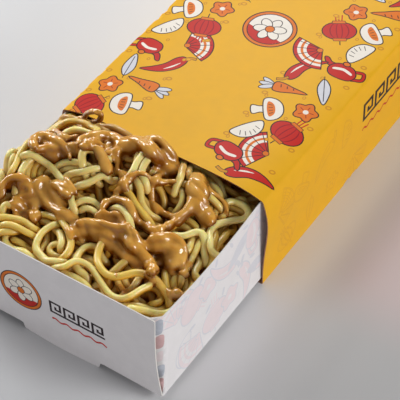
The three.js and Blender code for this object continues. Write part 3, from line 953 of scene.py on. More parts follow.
def tray_side_print():
    kinds = [fan, chilli, mushroom, lantern, leaf, dumpling, flower, teapot]
    shapes = []
    for i in range(17):
        for row, t in enumerate((36, 13)):
            motif = faded(kinds[(3 * i + 5 * row) % len(kinds)]())
            along = WALL_START + 8 + 11.6 * i + 5.8 * row
            shapes += placed(motif, along, t, 53 * i + 80 * row, 1.0)
            shapes.append((ellipse(along + 6, t + 9, 2.4, 0.9, 40 * i, 14), "mist"))
    for s in (FLAP_REACH + 2.4, STRIP_LENGTH - FLAP_REACH - 2.4):
        for k, ink in enumerate(("rose", "slate", "blush", "rose", "slate")):
            shapes.append((smooth_loop(patch_loop(s, 6 + 9 * k, k)), ink))
    return shapes


def patch_loop(s, t, k):
    """The corners of an uneven patch of ink, taller than wide."""
    wide, tall = 1.6 + 0.4 * math.sin(2.3 * k), 3.6 + 0.7 * math.cos(1.7 * k)
    lower = [(s - wide, t - tall), (s + 0.7 * wide, t - 0.8 * tall)]
    return lower + [(s + wide, t + tall), (s - 0.6 * wide, t + 0.7 * tall)]


def end_panel(end):
    """An end panel's outer face, with its tab below. s is x, t the height above the table."""
    curl = EDGE_CURL if end < 0 else EDGE_CURL / 3
    place = FRONT if end < 0 else BACK

    def surface(s, t):
        share = np.clip((t - PANEL_FOOT) / (RIM - PANEL_FOOT), 0, 1)
        across = np.clip(s / PANEL_HALF, -1, 1)
        x = s * (1 - PANEL_TAPER * share)
        out = curl * across**6 * np.sin(np.pi * share)
        below = np.clip((PANEL_FOOT - t) / TRAY_LIFT, 0, 1)
        kick = TAB_KICK * below * np.cos(np.pi / 2 * np.clip((s + 1.5) / 21, -1, 1))
        return np.stack([x, place + end * (out + kick), t], 1)

    return surface


def panel_outline():
    """The panel with cut corners, and its tab, which narrows from x = -21.7 to 18.7 down to the table."""
    half, bottom = PANEL_HALF, PANEL_FOOT
    right = [(18.7, bottom), (20.2, bottom + 0.4), (half - 0.6, bottom), (half, bottom + 0.6)]
    steps = [(half, z) for z in np.linspace(bottom + 4, RIM - 4, 9)]
    top = [(half, RIM - 0.5), (half - 0.5, RIM)]
    upper = [(x, RIM) for x in np.linspace(half - 6, 6 - half, 15)]
    left = [(0.5 - half, RIM), (-half, RIM - 0.5)] + [(-x, z) for x, z in steps[::-1]]
    foot = [(-half, bottom + 0.6), (0.6 - half, bottom), (-23.2, bottom + 0.4), (-21.7, bottom)]
    sole = [(x, 0.02) for x in np.linspace(-17, 14, 8)]
    tab = [(-21.0, 0.35), (-20.4, 0.02)] + sole + [(17.4, 0.02), (18.0, 0.35)]
    return np.array(right + steps + top + upper + left + foot + tab, float)


def front_print():
    shapes = placed(badge(), -20, 25.5, 0, 1.0)
    shapes += placed(fret(4, 6.2, "dark"), -4.5, 22.2)
    return shapes + placed(wave(28, 0.6, 1.0, "red"), -4.5, 17.6)


def floor_sheet(s, t):
    return np.stack([s, FRONT + t, np.full_like(s, TRAY_LIFT)], 1)


def add_tray(raw):
    folds = [FLAP_REACH, WALL_START, STRIP_LENGTH - WALL_START, STRIP_LENGTH - FLAP_REACH]
    support = (clustered(folds, STRIP_LENGTH, 6.0), np.linspace(0, WALL_HEIGHT, 11))
    parts = []
    for side, label in ((1, "right"), (-1, "left")):
        wall = rounded(side_strip(side), WALL_FOLD_REACH)
        name = "tray_side_" + label
        parts.append(add_board(name, wall, support, tray_side_print(), "white", raw, outward=-side))
    support = (np.linspace(-HALF_WIDTH, HALF_WIDTH, 31), np.linspace(0, RIM, 15))
    for end, label in ((-1, "front"), (1, "back")):
        shapes = [(loop * (-end, 1), ink) for loop, ink in front_print()]
        panel, outline = end_panel(end), panel_outline()
        parts.append(add_board("tray_" + label, panel, support, shapes, "white", raw, outline, outward=end))
    support = (np.linspace(-49.7, 49.7, 9), np.linspace(0.5, TRAY_LENGTH - 0.5, 17))
    parts.append(add_board("tray_floor", floor_sheet, support, [], "white", raw))
    for part in parts:
        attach(part, "tray_with_food")
        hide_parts("tray")


# ---------------------------------------------------------------------------
# The heap: its surface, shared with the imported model
# ---------------------------------------------------------------------------

# Swells of the open heap and the dip inside the mouth: middle x and along, reach in x and along, height.
RISES = [
    (-18, 58, 24, 18, 16),
    (-42, 36, 13, 22, 8.5),
    (8, 38, 24, 18, 6),
    (14, 64, 16, 12, 9.5),
]
MOUTH_DIP = (36, 78, 22, 16, -5)
INSIDE_X = HALF_WIDTH - BOARD - 0.3
INSIDE_FRONT = FRONT + LAP + BOARD + 0.3
INSIDE_BACK = BACK - LAP - BOARD - 0.3
CORNER_CUT = 3.0
HEAP_LEVEL = 47.5
MOUTH_BLEND = 2.5
HIDDEN_Y = MOUTH + 4


def swell(rise, x, along):
    middle_x, middle_along, reach_x, reach_along, height = rise
    far_x, far_along = (x - middle_x) / reach_x, (along - middle_along) / reach_along
    return height * np.exp(-(far_x**2) - far_along**2)


def heap_top(x, y):
    """Height of the food's surface, in front of the mouth and under the sleeve."""
    along = y - FRONT
    ripple = np.sin(x * 0.21 + along * 0.13) + 0.8 * np.sin(along * 0.29 - x * 0.17 + 1)
    aside = x / HALF_WIDTH
    swells = sum(swell(rise, x, along) for rise in RISES)
    open_top = HEAP_LEVEL + ripple - 3.5 * aside - 3 * aside**8 + swells
    covered = BED_HEIGHT + 0.7 * ripple + swell(MOUTH_DIP, x, along)
    share = np.clip((along - (EXPOSED - 3)) / MOUTH_BLEND, 0, 1)
    return open_top + (covered - open_top) * share


def sleeve_ceiling(x, y):
    """Highest place for food under the sleeve."""
    across = np.clip(x / SLEEVE_HALF, -1, 1)
    bend = sleeve_bend(np.maximum(y, MOUTH))
    return SLEEVE_FOLD_Z - BOARD - 0.5 + crowned(across, bend) * 0.8


def pixel_ray(pixel):
    """The direction of the camera's ray through a pixel of the photograph."""
    column, row = pixel
    half = IMAGE_SIZE / 2
    return RIGHT * (column - half) / FOCAL_PIXELS - UP * (row - half) / FOCAL_PIXELS - BACKWARD


RAY_TOP, RAY_FOOT, RAY_STEP = 85.0, 35.0, 0.2


def ray_to(surface, pixel, lift=0.0):
    """Where the camera's ray through a pixel first meets a height surface that is lifted so far."""
    ray = pixel_ray(pixel)
    heights = np.arange(RAY_TOP, RAY_FOOT, -RAY_STEP)
    reach = (heights - EYE[2]) / ray[2]
    path = EYE + ray * reach[:, None]
    below = path[:, 2] <= surface(path[:, 0], path[:, 1]) + lift
    return path[np.argmax(below)] if below.any() else path[-1]


def ray_to_plane(pixel, y):
    """Where the camera's ray through a pixel crosses an upright plane across the box."""
    ray = pixel_ray(pixel)
    return EYE + ray * (y - EYE[1]) / ray[1]


# ---------------------------------------------------------------------------
# Noodles: curly strands, laid in layers and settled against each other
# ---------------------------------------------------------------------------

STRAND_STEP = 1.6
CONTACT = 2 * NOODLE_RADIUS

# Hollows between the strands, and swells as hollows of negative depth: pixel, reach and depth of each.
HOLLOWS = [
    ((165, 199), 8.5, 3.6),
    ((98, 190), 8.0, 3.2),
    ((44, 190), 4.5, 2.5),
    ((112, 262), 5.0, 3.4),
    ((88, 256), 4.5, 4.0),
    ((134, 286), 4.5, 3.5),
    ((128, 168), 5.0, 2.6),
    ((16, 160), 6.0, -2.5),
    ((80, 176), 6.0, -1.5),
]


def hollow_places():
    """The hollows' middles, reaches and depths, in millimetres."""
    return [(*ray_to(heap_top, pixel)[:2], reach, depth) for pixel, reach, depth in HOLLOWS]


def hollow_depth(x, y):
    """How far the food lies below the heap's surface at a place."""
    total = 0.0
    for middle_x, middle_y, reach, depth in HOLLOW_PLACES:
        far_x, far_y = (x - middle_x) / reach, (y - middle_y) / reach
        total = total + depth * np.exp(-(far_x**2) - far_y**2)
    return total


HOLLOW_PLACES = hollow_places()

# Strands that show clearly: how far each is lifted from just under the heap's surface, and its pixels.
TRACED_STRANDS = {
    "front_arc": (2.6, [
        (54, 226), (46, 229), (39, 235), (36, 243), (37, 251), (43, 259), (51, 263), (60, 264),
    ]),
    "front_ring": (1.0, [
        (72, 262), (69, 253), (62, 245), (55, 244), (50, 248), (50, 254), (56, 258), (64, 257),
    ]),
    "rim_arc": (3.4, [
        (52, 275), (59, 270), (67, 265), (76, 262), (86, 264), (94, 270), (99, 279), (104, 288), (110, 295),
        (119, 299), (128, 298), (136, 293), (144, 288), (153, 286),
    ]),
    "upright": (4.6, [
        (103, 240), (99, 250), (97, 260), (100, 269), (107, 275), (116, 277), (126, 275), (136, 272),
        (145, 274), (154, 280), (162, 289), (169, 297),
    ]),
    "hook": (2.4, [
        (128, 297), (137, 293), (146, 287), (155, 286), (160, 294), (161, 301), (156, 306), (150, 304),
    ]),
    "brace": (1.0, [(139, 277), (135, 285), (130, 292), (124, 297)]),
    "corner": (3.0, [(131, 308), (136, 310), (143, 310), (150, 312), (159, 314), (168, 313), (174, 309)]),
    "left_pair_a": (1.6, [(2, 216), (9, 218), (18, 220), (26, 223), (33, 229)]),
    "left_pair_b": (1.8, [(4, 224), (12, 226), (20, 229), (28, 233), (35, 236)]),
    "left_edge": (1.6, [(1, 214), (3, 207), (7, 203), (12, 206)]),
    "blob_side": (3.2, [
        (34, 216), (42, 214), (50, 216), (59, 220), (66, 227), (70, 236), (71, 246), (68, 255),
    ]),
    "blob_side_low": (1.4, [(40, 221), (50, 223), (58, 229), (62, 238), (64, 248)]),
    "behind_upright": (1.6, [(98, 246), (90, 246), (82, 249), (77, 256), (75, 264), (77, 272)]),
    "left_hang_a": (2.2, [(36, 140), (27, 140), (19, 146), (13, 154), (10, 164), (8, 172)]),
    "left_hang_b": (1.4, [(32, 147), (24, 150), (19, 158), (17, 167), (19, 175)]),
    "left_hang_c": (1.2, [(38, 150), (31, 154), (26, 161), (24, 169)]),
    "left_hang_d": (2.4, [(31, 138), (23, 141), (16, 147), (13, 155), (14, 164)]),
    "left_hang_e": (1.8, [(34, 152), (28, 157), (22, 163), (20, 171)]),
    "left_hang_f": (1.4, [(14, 150), (8, 156), (4, 163), (3, 172)]),
    "left_low": (1.0, [(2, 164), (5, 170), (4, 179), (1, 187)]),
    "straight": (5.6, [(31, 155), (38, 158), (46, 163), (54, 170), (61, 178), (67, 187), (72, 195)]),
    "middle_fan_a": (4.2, [(54, 168), (62, 164), (72, 163), (82, 165), (92, 168)]),
    "middle_fan_b": (4.6, [(66, 176), (76, 172), (87, 170), (97, 169)]),
    "middle_fan_c": (3.8, [(72, 187), (83, 184), (93, 180), (102, 173)]),
    "middle_loop": (5.2, [(86, 165), (82, 160), (82, 152), (88, 148), (95, 150)]),
    "peg": (4.0, [(70, 210), (76, 203), (84, 199), (92, 200)]),
    "top_pair_a": (3.4, [(134, 172), (137, 163), (143, 156), (147, 150)]),
    "top_pair_b": (3.4, [(140, 173), (143, 164), (148, 158), (152, 152)]),
    "centre_drop": (3.0, [(136, 180), (141, 188), (140, 197), (140, 205), (146, 212)]),
    "long_slant": (3.6, [(122, 184), (129, 193), (136, 203), (143, 213), (151, 224), (158, 233)]),
    "lower_slant": (3.6, [(160, 233), (168, 229), (176, 224), (184, 218), (191, 210), (196, 203)]),
    "mouth_arc": (3.6, [(186, 172), (190, 168), (196, 167), (203, 169), (208, 173), (213, 179), (219, 185)]),
    "right_loop": (3.2, [
        (225, 203), (234, 202), (243, 205), (249, 211), (247, 218), (238, 220), (227, 221), (217, 225),
        (209, 232), (206, 240), (209, 249), (213, 258),
    ]),
    "right_hump": (3.4, [
        (208, 245), (206, 237), (200, 232), (192, 233), (184, 236), (176, 236), (166, 234),
    ]),
    "right_slant": (1.8, [(202, 238), (197, 248), (192, 258), (187, 268), (181, 276)]),
    "right_twist": (2.0, [(215, 232), (214, 241), (211, 250), (213, 258), (211, 265)]),
    "right_stub": (0.6, [(176, 268), (174, 277), (172, 288)]),
    "right_stub_b": (0.6, [(169, 266), (167, 275), (166, 285)]),
    "under_blob": (1.2, [(125, 262), (118, 268), (112, 275)]),
    "front_low": (0.4, [(93, 286), (99, 284), (104, 291), (107, 299)]),
    "front_low_b": (0.6, [(62, 277), (70, 276), (78, 279), (86, 284)]),
    "mouth_stub": (3.4, [(184, 161), (185, 166), (183, 172), (181, 177)]),
    "left_fan_a": (2.2, [(35, 157), (29, 162), (25, 169), (24, 176)]),
    "left_fan_b": (1.8, [(40, 160), (35, 165), (32, 171), (31, 177)]),
    "left_fan_c": (1.2, [(45, 164), (40, 168), (38, 174)]),
    "left_hang_g": (1.2, [(29, 142), (22, 146), (16, 152), (12, 160), (12, 168)]),
    "left_hang_h": (2.6, [(38, 153), (32, 158), (27, 164), (24, 172)]),
    "left_hang_i": (1.0, [(20, 146), (12, 151), (7, 159), (6, 168)]),
    "fan_d": (2.6, [(60, 172), (70, 169), (80, 168), (90, 166)]),
    "fan_e": (2.2, [(70, 181), (80, 178), (90, 175), (98, 171)]),
    "left_fan_d": (2.6, [(33, 142), (27, 146), (22, 153), (18, 161), (15, 169)]),
    "loop_fill_a": (1.4, [(227, 207), (233, 208), (239, 210), (243, 213)]),
    "loop_fill_b": (1.0, [(222, 212), (229, 214), (236, 216)]),
    "centre_pale": (4.6, [(118, 207), (123, 209), (127, 214), (130, 220), (131, 226)]),
    "centre_stub": (3.8, [(88, 207), (93, 209), (97, 212)]),
    "wall_low_a": (0.8, [(226, 231), (221, 237), (216, 245), (212, 254)]),
    "wall_low_b": (0.6, [(203, 262), (197, 268), (192, 275)]),
}

# Strands at the crest: the distance of each before the sleeve's mouth, and its pixels.
CREST_STRANDS = {
    "crest_a": (6.0, [(56, 131), (60, 124), (66, 120.5), (73, 121), (79, 125)]),
    "crest_b": (7.5, [(61, 131), (66, 126.5), (73, 126), (80, 128), (84, 132)]),
    "crest_arc": (3.6, [(91, 127), (99, 126), (109, 127.5), (119, 130), (128, 134), (134, 139)]),
    "crest_back": (2.6, [(66, 119), (60, 118), (55, 121), (50, 126)]),
    "mouth_in_a": (-2.0, [(209, 178), (214, 183), (219, 189), (224, 195)]),
    "mouth_in_b": (-3.5, [(214, 180), (221, 185), (229, 190), (236, 195)]),
    "mouth_in_c": (-1.5, [(236, 201), (241, 198), (245, 201), (247, 207)]),
}


# Strands that lie over the sauce, clean; painted light also makes them paler, and they get less painted
# shade.
BARE_BRIGHTENED_STRANDS = (
    "centre_pale", "centre_stub", "straight", "middle_loop", "top_pair_a", "top_pair_b", "peg",
    "middle_fan_a", "middle_fan_b", "middle_fan_c", "fan_d", "right_loop", "mouth_arc", "mouth_stub",
    "right_hump",
)

# The crest, where every strand has a thin coat of sauce: how far it reaches before the mouth, and its foot.
CREST_DEPTH = 11.0
CREST_HEIGHT = 53.0

# How far the hidden end of a traced strand has dived below it, step by step.
DIVE = np.array([0.3, 0.9, 1.8, 2.9, 4.1, 5.4, 6.6])


def strand_level(x, y):
    """The middle of a strand that lies just under the heap's surface."""
    return heap_top(x, y) - NOODLE_RADIUS


def traced_strands():
    """The traced strands, each with both ends carried on down into the heap, and what share is traced."""
    courses = [
        [ray_to(strand_level, pixel, lift) for pixel in pixels] for lift, pixels in TRACED_STRANDS.values()
    ]
    for gap, pixels in CREST_STRANDS.values():
        courses.append([ray_to_plane(pixel, MOUTH - gap) for pixel in pixels])
    strands, traced = [], []
    for places in courses:
        line = even_steps(smooth_line(places, 8), STRAND_STEP)
        head, tail = dive_from(line[2], line[0]), dive_from(line[-3], line[-1])
        strands.append(np.concatenate([head[::-1], line, tail]))
        traced.append(np.concatenate([np.zeros(len(head)), np.ones(len(line)), np.zeros(len(tail))]))
    return strands, np.concatenate(traced)


def dive_from(before, end):
    """The hidden end of a strand, which goes on from its last place and down."""
    ahead = end - before
    ahead[2] = 0
    ahead *= STRAND_STEP * 0.5 / max(1e-6, np.linalg.norm(ahead))
    made = end + ahead * np.arange(1, len(DIVE) + 1)[:, None]
    made[:, 2] -= DIVE
    return made


def even_steps(line, step):
    """Points along a line, a fixed step apart."""
    length = np.concatenate([[0], np.cumsum(np.linalg.norm(np.diff(line, axis=0), axis=1))])
    count = max(3, int(length[-1] / step) + 1)
    places = np.linspace(0, length[-1], count)
    return np.stack([np.interp(places, length, line[:, k]) for k in range(3)], 1)


# Layers of loose strands: where they start and end along the tray, how many, and their depth.
# The last two lie under the sleeve.
LOOSE_LAYERS = [
    {"start": 3, "end": EXPOSED - 3, "count": 26, "depth": 8.6},
    {"start": 3, "end": EXPOSED - 3, "count": 19, "depth": 5.2},
    {"start": 3, "end": EXPOSED - 3, "count": 7, "depth": 1.6},
    {"start": EXPOSED + 2, "end": TRAY_LENGTH - 4, "count": 30, "depth": 5.0},
    {"start": EXPOSED + 2, "end": TRAY_LENGTH - 4, "count": 34, "depth": 1.8},
]


def loose_strands(random):
    """Curly strands, spread evenly along each layer."""
    strands = []
    for layer in LOOSE_LAYERS:
        count = layer["count"]
        for i in range(count):
            share = (i + random.random()) / count
            along = layer["start"] + (layer["end"] - layer["start"]) * share
            x = (2 * ((i * 0.618 + 0.2 * random.random()) % 1) - 1) * (INSIDE_X - 5)
            strands.append(curly_strand(random, x, along, layer))
    return strands


def curly_strand(random, x, along, layer):
    """A flat curly path that turns away from the walls and keeps to its layer's depth."""
    count = random.integers(30, 62)
    lean = random.choice([-1, 1]) * random.uniform(0.02, 0.07)
    swing, quick = random.uniform(0.03, 0.09), random.uniform(0.02, 0.06)
    phase = random.uniform(0, 2 * math.pi, 4)
    heading = phase[0]
    points = []
    for i in range(count):
        bend = lean + swing * math.sin(i / 7.5 + phase[1]) + quick * math.sin(i / 3.4 + phase[2])
        heading += bend * STRAND_STEP
        ahead_x = x + 7 * math.cos(heading)
        ahead_along = along + 7 * math.sin(heading)
        if abs(ahead_x) > INSIDE_X - 2 or not layer["start"] < ahead_along < layer["end"] + 2:
            heading += 0.32 * (1 if lean > 0 else -1)
        x += STRAND_STEP * math.cos(heading)
        along += STRAND_STEP * math.sin(heading)
        points.append((x, FRONT + along))
    flat = np.array(points)
    rise = 1.3 * np.sin(np.arange(count) / 6.0 + phase[3])
    z = heap_top(flat[:, 0], flat[:, 1]) - layer["depth"] + rise - hollow_depth(flat[:, 0], flat[:, 1])
    return np.column_stack([flat, z])


# Links along a strand: how many steps each spans, and how strongly it keeps its length.
LINK_GAPS = (1, 2, 4)
LINK_STIFFNESS = (0.9, 0.35, 0.25)

# What moves strands in a step: the pull up or down to where they began, at first and at last, their sag, the
# pull on traced points, and the push between strands that touch.
FIRST_PULL, LAST_PULL = 0.06, 0.004
SAG = 0.012
TRACED_PULL = 0.12
TOUCH_PUSH = 0.9
STEPS_PER_SEARCH = 10


class Heap:
    """All strands as points with rest distances, and what holds them while they settle."""

    def __init__(self, loose, traced, traced_share):
        strands = traced + loose
        self.counts = [len(strand) for strand in strands]
        self.points = np.concatenate(strands)
        self.strand = np.repeat(np.arange(len(strands)), self.counts)
        self.order = np.concatenate([np.arange(count) for count in self.counts])
        self.held = np.concatenate([traced_share, np.zeros(len(self.points) - len(traced_share))]) > 0.5
        self.aim = self.points.copy()
        self.links = [self.link(gap) for gap in LINK_GAPS]

    def link(self, gap):
        """Pairs of points a few steps apart on one strand, with the distance that they keep."""
        first = np.arange(len(self.points) - gap)
        first = first[self.strand[first] == self.strand[first + gap]]
        reach = np.linalg.norm(self.points[first + gap] - self.points[first], axis=1)
        return first, first + gap, reach

    def keep_lengths(self):
        """Moves points back to the distances that their strand keeps."""
        for (first, second, reach), stiffness in zip(self.links, LINK_STIFFNESS):
            for parity in (0, 1):
                use = (self.order[first] // max(1, second[0] - first[0])) % 2 == parity
                a, b = first[use], second[use]
                gap = self.points[b] - self.points[a]
                length = np.maximum(1e-6, np.linalg.norm(gap, axis=1))
                push = gap * (0.5 * stiffness * (1 - reach[use] / length))[:, None]
                self.points[a] += push
                self.points[b] -= push

    def find_near(self):
        """Pairs of points that may touch: not close neighbours on one strand."""
        a, b = near_pairs(self.points, CONTACT * 1.35)
        apart = (self.strand[a] != self.strand[b]) | (np.abs(self.order[a] - self.order[b]) > 4)
        self.near = a[apart], b[apart]

    def push_apart(self):
        """Moves points of touching strands away from each other."""
        a, b = self.near
        gap = self.points[b] - self.points[a]
        length = np.maximum(1e-6, np.linalg.norm(gap, axis=1))
        over = np.clip(CONTACT - length, 0, None)
        touching = over > 0
        a, b, gap = a[touching], b[touching], gap[touching]
        push = gap * (0.5 * TOUCH_PUSH * over[touching] / length[touching])[:, None]
        count = len(self.points)
        load = np.maximum(1, 0.7 * (np.bincount(a, minlength=count) + np.bincount(b, minlength=count)))
        for axis in range(3):
            moved = np.bincount(b, push[:, axis], count) - np.bincount(a, push[:, axis], count)
            self.points[:, axis] += moved / load

    def keep_inside(self, floor):
        """Keeps points between the walls, over the bed and below the sleeve."""
        x, y, z = self.points.T
        limit = INSIDE_X - NOODLE_RADIUS
        np.clip(x, -limit, limit, out=x)
        np.clip(y, INSIDE_FRONT + NOODLE_RADIUS, INSIDE_BACK - NOODLE_RADIUS, out=y)
        diagonal = np.abs(x) + (INSIDE_FRONT - y) - (INSIDE_X - CORNER_CUT) + 1.4 * NOODLE_RADIUS
        over = np.clip(diagonal, 0, None) / 2
        low = z < RIM + 0.5
        x -= np.sign(x) * over * low
        y += over * low
        np.maximum(z, floor(x, y) + NOODLE_RADIUS, out=z)
        ceiling = sleeve_ceiling(x, y) - NOODLE_RADIUS
        under = y > MOUTH - NOODLE_RADIUS - 0.4
        high = under & (z > ceiling)
        outside = high & (z > ceiling + 3)
        y[outside] = MOUTH - NOODLE_RADIUS - 0.4
        settle = high & ~outside
        z[settle] = ceiling[settle]

    def settle(self, floor, steps):
        for step in range(steps):
            if step % STEPS_PER_SEARCH == 0:
                self.find_near()
            pull = FIRST_PULL * (1 - step / steps) + LAST_PULL
            self.points[:, 2] += pull * (self.aim[:, 2] - self.points[:, 2])
            self.points[:, 2] -= SAG
            held = self.held
            self.points[held] += TRACED_PULL * (self.aim[held] - self.points[held])
            self.keep_lengths()
            self.push_apart()
            self.keep_inside(floor)

    def lines(self):
        return np.split(self.points, np.cumsum(self.counts)[:-1])


# Steps from a cell to itself and the cells beside it, and the half of them that meets each pair once.
CELLS_BESIDE = [(i, j, k) for i in (-1, 0, 1) for j in (-1, 0, 1) for k in (-1, 0, 1)]
HALF_BESIDE = [step for step in CELLS_BESIDE if step >= (0, 0, 0)]


def cell_pairs(points, others, reach, steps):
    """Pairs of a point and another one, for each step between their cells, which are as wide as reach."""
    cell = np.floor(np.concatenate([points, others]) / reach).astype(np.int64)
    cell -= cell.min(0) - 1
    size = cell.max(0) + 2
    key = (cell[:, 0] * size[1] + cell[:, 1]) * size[2] + cell[:, 2]
    mine, theirs = key[: len(points)], key[len(points) :]
    order = np.argsort(theirs, kind="stable")
    ranked = theirs[order]
    firsts, seconds = [], []
    for i, j, k in steps:
        sought = mine + (i * size[1] + j) * size[2] + k
        start = np.searchsorted(ranked, sought, "left")
        count = np.searchsorted(ranked, sought, "right") - start
        within = np.arange(count.sum()) - np.repeat(np.cumsum(count) - count, count)
        firsts.append(np.repeat(np.arange(len(points)), count))
        seconds.append(order[np.repeat(start, count) + within])
    return firsts, seconds


def near_pairs(points, reach):
    """All pairs of points closer than reach, each once."""
    firsts, seconds = cell_pairs(points, points, reach, HALF_BESIDE)
    once = firsts[0] < seconds[0]
    firsts[0], seconds[0] = firsts[0][once], seconds[0][once]
    a, b = np.concatenate(firsts), np.concatenate(seconds)
    close = np.linalg.norm(points[a] - points[b], axis=1) < reach
    return a[close], b[close]


def closeness(points, others, reach):
    """For each point, from 0 at the reach to 1 on the nearest of the others."""
    a, b = (np.concatenate(part) for part in cell_pairs(points, others, reach, CELLS_BESIDE))
    distance = np.linalg.norm(points[a] - others[b], axis=1)
    near = np.zeros(len(points))
    np.maximum.at(near, a, 1 - distance / reach)
    return near


# How much wider than round a strand's section is, and narrower the other way.
OVAL = 1.07


def tube(line, sides, radius):
    """Points and faces of a closed tube with rounded ends along a line."""
    ahead = np.gradient(line, axis=0)
    ahead /= np.maximum(1e-9, np.linalg.norm(ahead, axis=1))[:, None]
    normal = np.cross(ahead[0], (0.1, 0.2, 1.0))
    turn = 2 * math.pi * np.arange(sides) / sides
    cos, sin = OVAL * np.cos(turn)[:, None], np.sin(turn)[:, None] / OVAL
    rings = []
    for i in range(len(line)):
        normal = normal - ahead[i] * np.dot(normal, ahead[i])
        normal = normal / max(1e-9, np.linalg.norm(normal))
        across = np.cross(ahead[i], normal)
        rings.append(line[i] + radius[i] * (normal * cos + across * sin))
    head, tail = line[:1] - ahead[:1] * radius[0] * 0.5, line[-1:] + ahead[-1:] * radius[-1] * 0.5
    points = np.concatenate(rings + [head, tail])
    ring = np.arange(sides)
    following = np.roll(ring, -1)
    base = (np.arange(len(line) - 1) * sides)[:, None]
    upper = base + sides
    quads = np.stack([base + ring, base + following, upper + following, upper + ring], -1).reshape(-1, 4)
    last = (len(line) - 1) * sides
    caps = [(len(points) - 2, following[k], ring[k]) for k in range(sides)]
    caps += [(len(points) - 1, last + ring[k], last + following[k]) for k in range(sides)]
    return points, quads, np.array(caps)


def noodle_mesh(lines, covered, random):
    """All strands as one mesh of tubes, each a little uneven.

    Returns the mesh, its points, how far food covers each and the number of its strand.
    """
    points, faces, deep, tint, owner = [], [], [], [], []
    count = 0
    traced = len(TRACED_STRANDS) + len(CREST_STRANDS)
    for k, (line, cover) in enumerate(zip(lines, covered)):
        hidden = line[:, 1].mean() > HIDDEN_Y
        per, sides = (1, 7) if hidden else (2, 10 if k < traced else 9)
        line = smooth_line(softened(line), per)
        along = np.arange(len(line)) * STRAND_STEP / per
        swollen = 1 + 0.035 * np.sin(along / 3.1 + random.uniform(0, 6)) + random.uniform(-0.06, 0.05)
        radius = NOODLE_RADIUS * swollen
        for edge, share in ((0, 0.62), (1, 0.9)):
            radius[edge] *= share
            radius[-1 - edge] *= share
        p, quads, caps = tube(line, sides, radius)
        points.append(p)
        faces += (quads + count).tolist() + (caps + count).tolist()
        count += len(p)
        cover = np.interp(np.linspace(0, 1, len(line)), np.linspace(0, 1, len(cover)), cover)
        deep.append(np.concatenate([np.repeat(cover, sides), cover[[0, -1]]]))
        tint.append(np.full(len(p), random.random() ** 2))
        owner.append(np.full(len(p), k))
    where = np.concatenate(points)
    mesh = smooth_mesh("noodles_loose", where, faces, noodle_material())
    normal = np.zeros(3 * len(where))
    mesh.vertices.foreach_get("normal", normal)
    # Painted shade: "under" grows on the downward-facing sides of each strand.
    set_share(mesh, "under", 0.85 - 0.88 * normal.reshape(-1, 3)[:, 2])
    set_share(mesh, "tint", np.concatenate(tint))
    return mesh, where, np.concatenate(deep), np.concatenate(owner)


def cover_over(points, reach=6.5):
    """For each point of a strand, from 0 to 1, how much other food lies close above it."""
    a, b = near_pairs(points, reach)
    both = np.concatenate([a, b]), np.concatenate([b, a])
    gap = points[both[1]] - points[both[0]]
    above = np.clip((gap[:, 2] - 0.8) / 2.5, 0, 1)
    near = 1 - np.linalg.norm(gap, axis=1) / reach
    return np.clip(np.bincount(both[0], above * near, len(points)) / 3.2, 0, 1)


def softened(line, rounds=2):
    """A line with its bends eased, and its ends where they were."""
    for _ in range(rounds):
        inner = 0.25 * line[:-2] + 0.5 * line[1:-1] + 0.25 * line[2:]
        line = np.concatenate([line[:1], inner, line[-1:]])
    return line


# ---------------------------------------------------------------------------
# Fields over the food: a grid of heights seen from above
# ---------------------------------------------------------------------------


class HeightGrid:
    """Heights on a square grid over the tray, which start on a surface."""

    def __init__(self, cell, surface):
        self.cell = cell
        self.low = np.array([-HALF_WIDTH, FRONT])
        self.shape = (int(2 * HALF_WIDTH / cell) + 1, int((BACK - FRONT) / cell) + 1)
        self.height = surface(*self.places())

    def places(self):
        x = self.low[0] + self.cell * np.arange(self.shape[0])
        y = self.low[1] + self.cell * np.arange(self.shape[1])
        return np.meshgrid(x, y, indexing="ij")

    def raise_balls(self, centres, radius):
        """Lifts the heights over balls at these centres."""
        reach = int(radius / self.cell) + 1
        offsets = np.arange(-reach, reach + 1)
        near = np.round((centres[:, :2] - self.low) / self.cell).astype(int)
        for i in offsets:
            for j in offsets:
                column, row = near[:, 0] + i, near[:, 1] + j
                ok = (column >= 0) & (row >= 0) & (column < self.shape[0]) & (row < self.shape[1])
                dx = self.low[0] + column * self.cell - centres[:, 0]
                dy = self.low[1] + row * self.cell - centres[:, 1]
                square = radius**2 - dx**2 - dy**2
                ok &= square > 0
                z = centres[ok, 2] + np.sqrt(square[ok])
                np.maximum.at(self.height, (column[ok], row[ok]), z)

    def close_gaps(self, reach):
        """Makes the surface that a thick liquid bridges: gaps narrower than twice the reach are filled."""
        for pick in (np.maximum, np.minimum):
            for step in range(int(reach / self.cell)):
                self.height = neighbours(self.height, pick, step % 2 == 0)

    def blur(self, rounds):
        for _ in range(rounds):
            for axis in (0, 1):
                h = self.height
                self.height = 0.5 * h + 0.25 * np.roll(h, 1, axis) + 0.25 * np.roll(h, -1, axis)

    def at(self, x, y):
        """Heights at places between the grid's own."""
        u = np.clip((np.asarray(x) - self.low[0]) / self.cell, 0, self.shape[0] - 1.001)
        v = np.clip((np.asarray(y) - self.low[1]) / self.cell, 0, self.shape[1] - 1.001)
        i, j = np.floor(u).astype(int), np.floor(v).astype(int)
        u, v = u - i, v - j
        h = self.height
        low = h[i, j] * (1 - u) + h[i + 1, j] * u
        high = h[i, j + 1] * (1 - u) + h[i + 1, j + 1] * u
        return low * (1 - v) + high * v


def neighbours(height, pick, diagonal):
    """Each height changed for the highest or the lowest of it and those beside it."""
    made = height.copy()
    for axis in (0, 1):
        for step in (1, -1):
            made = pick(made, np.roll(height, step, axis))
    if diagonal:
        for i in (1, -1):
            for j in (1, -1):
                made = pick(made, np.roll(np.roll(height, i, 0), j, 1))
    return made


BED_CELL = 0.8
BED_DEPTH = 7.2
BED_STRANDS = 170


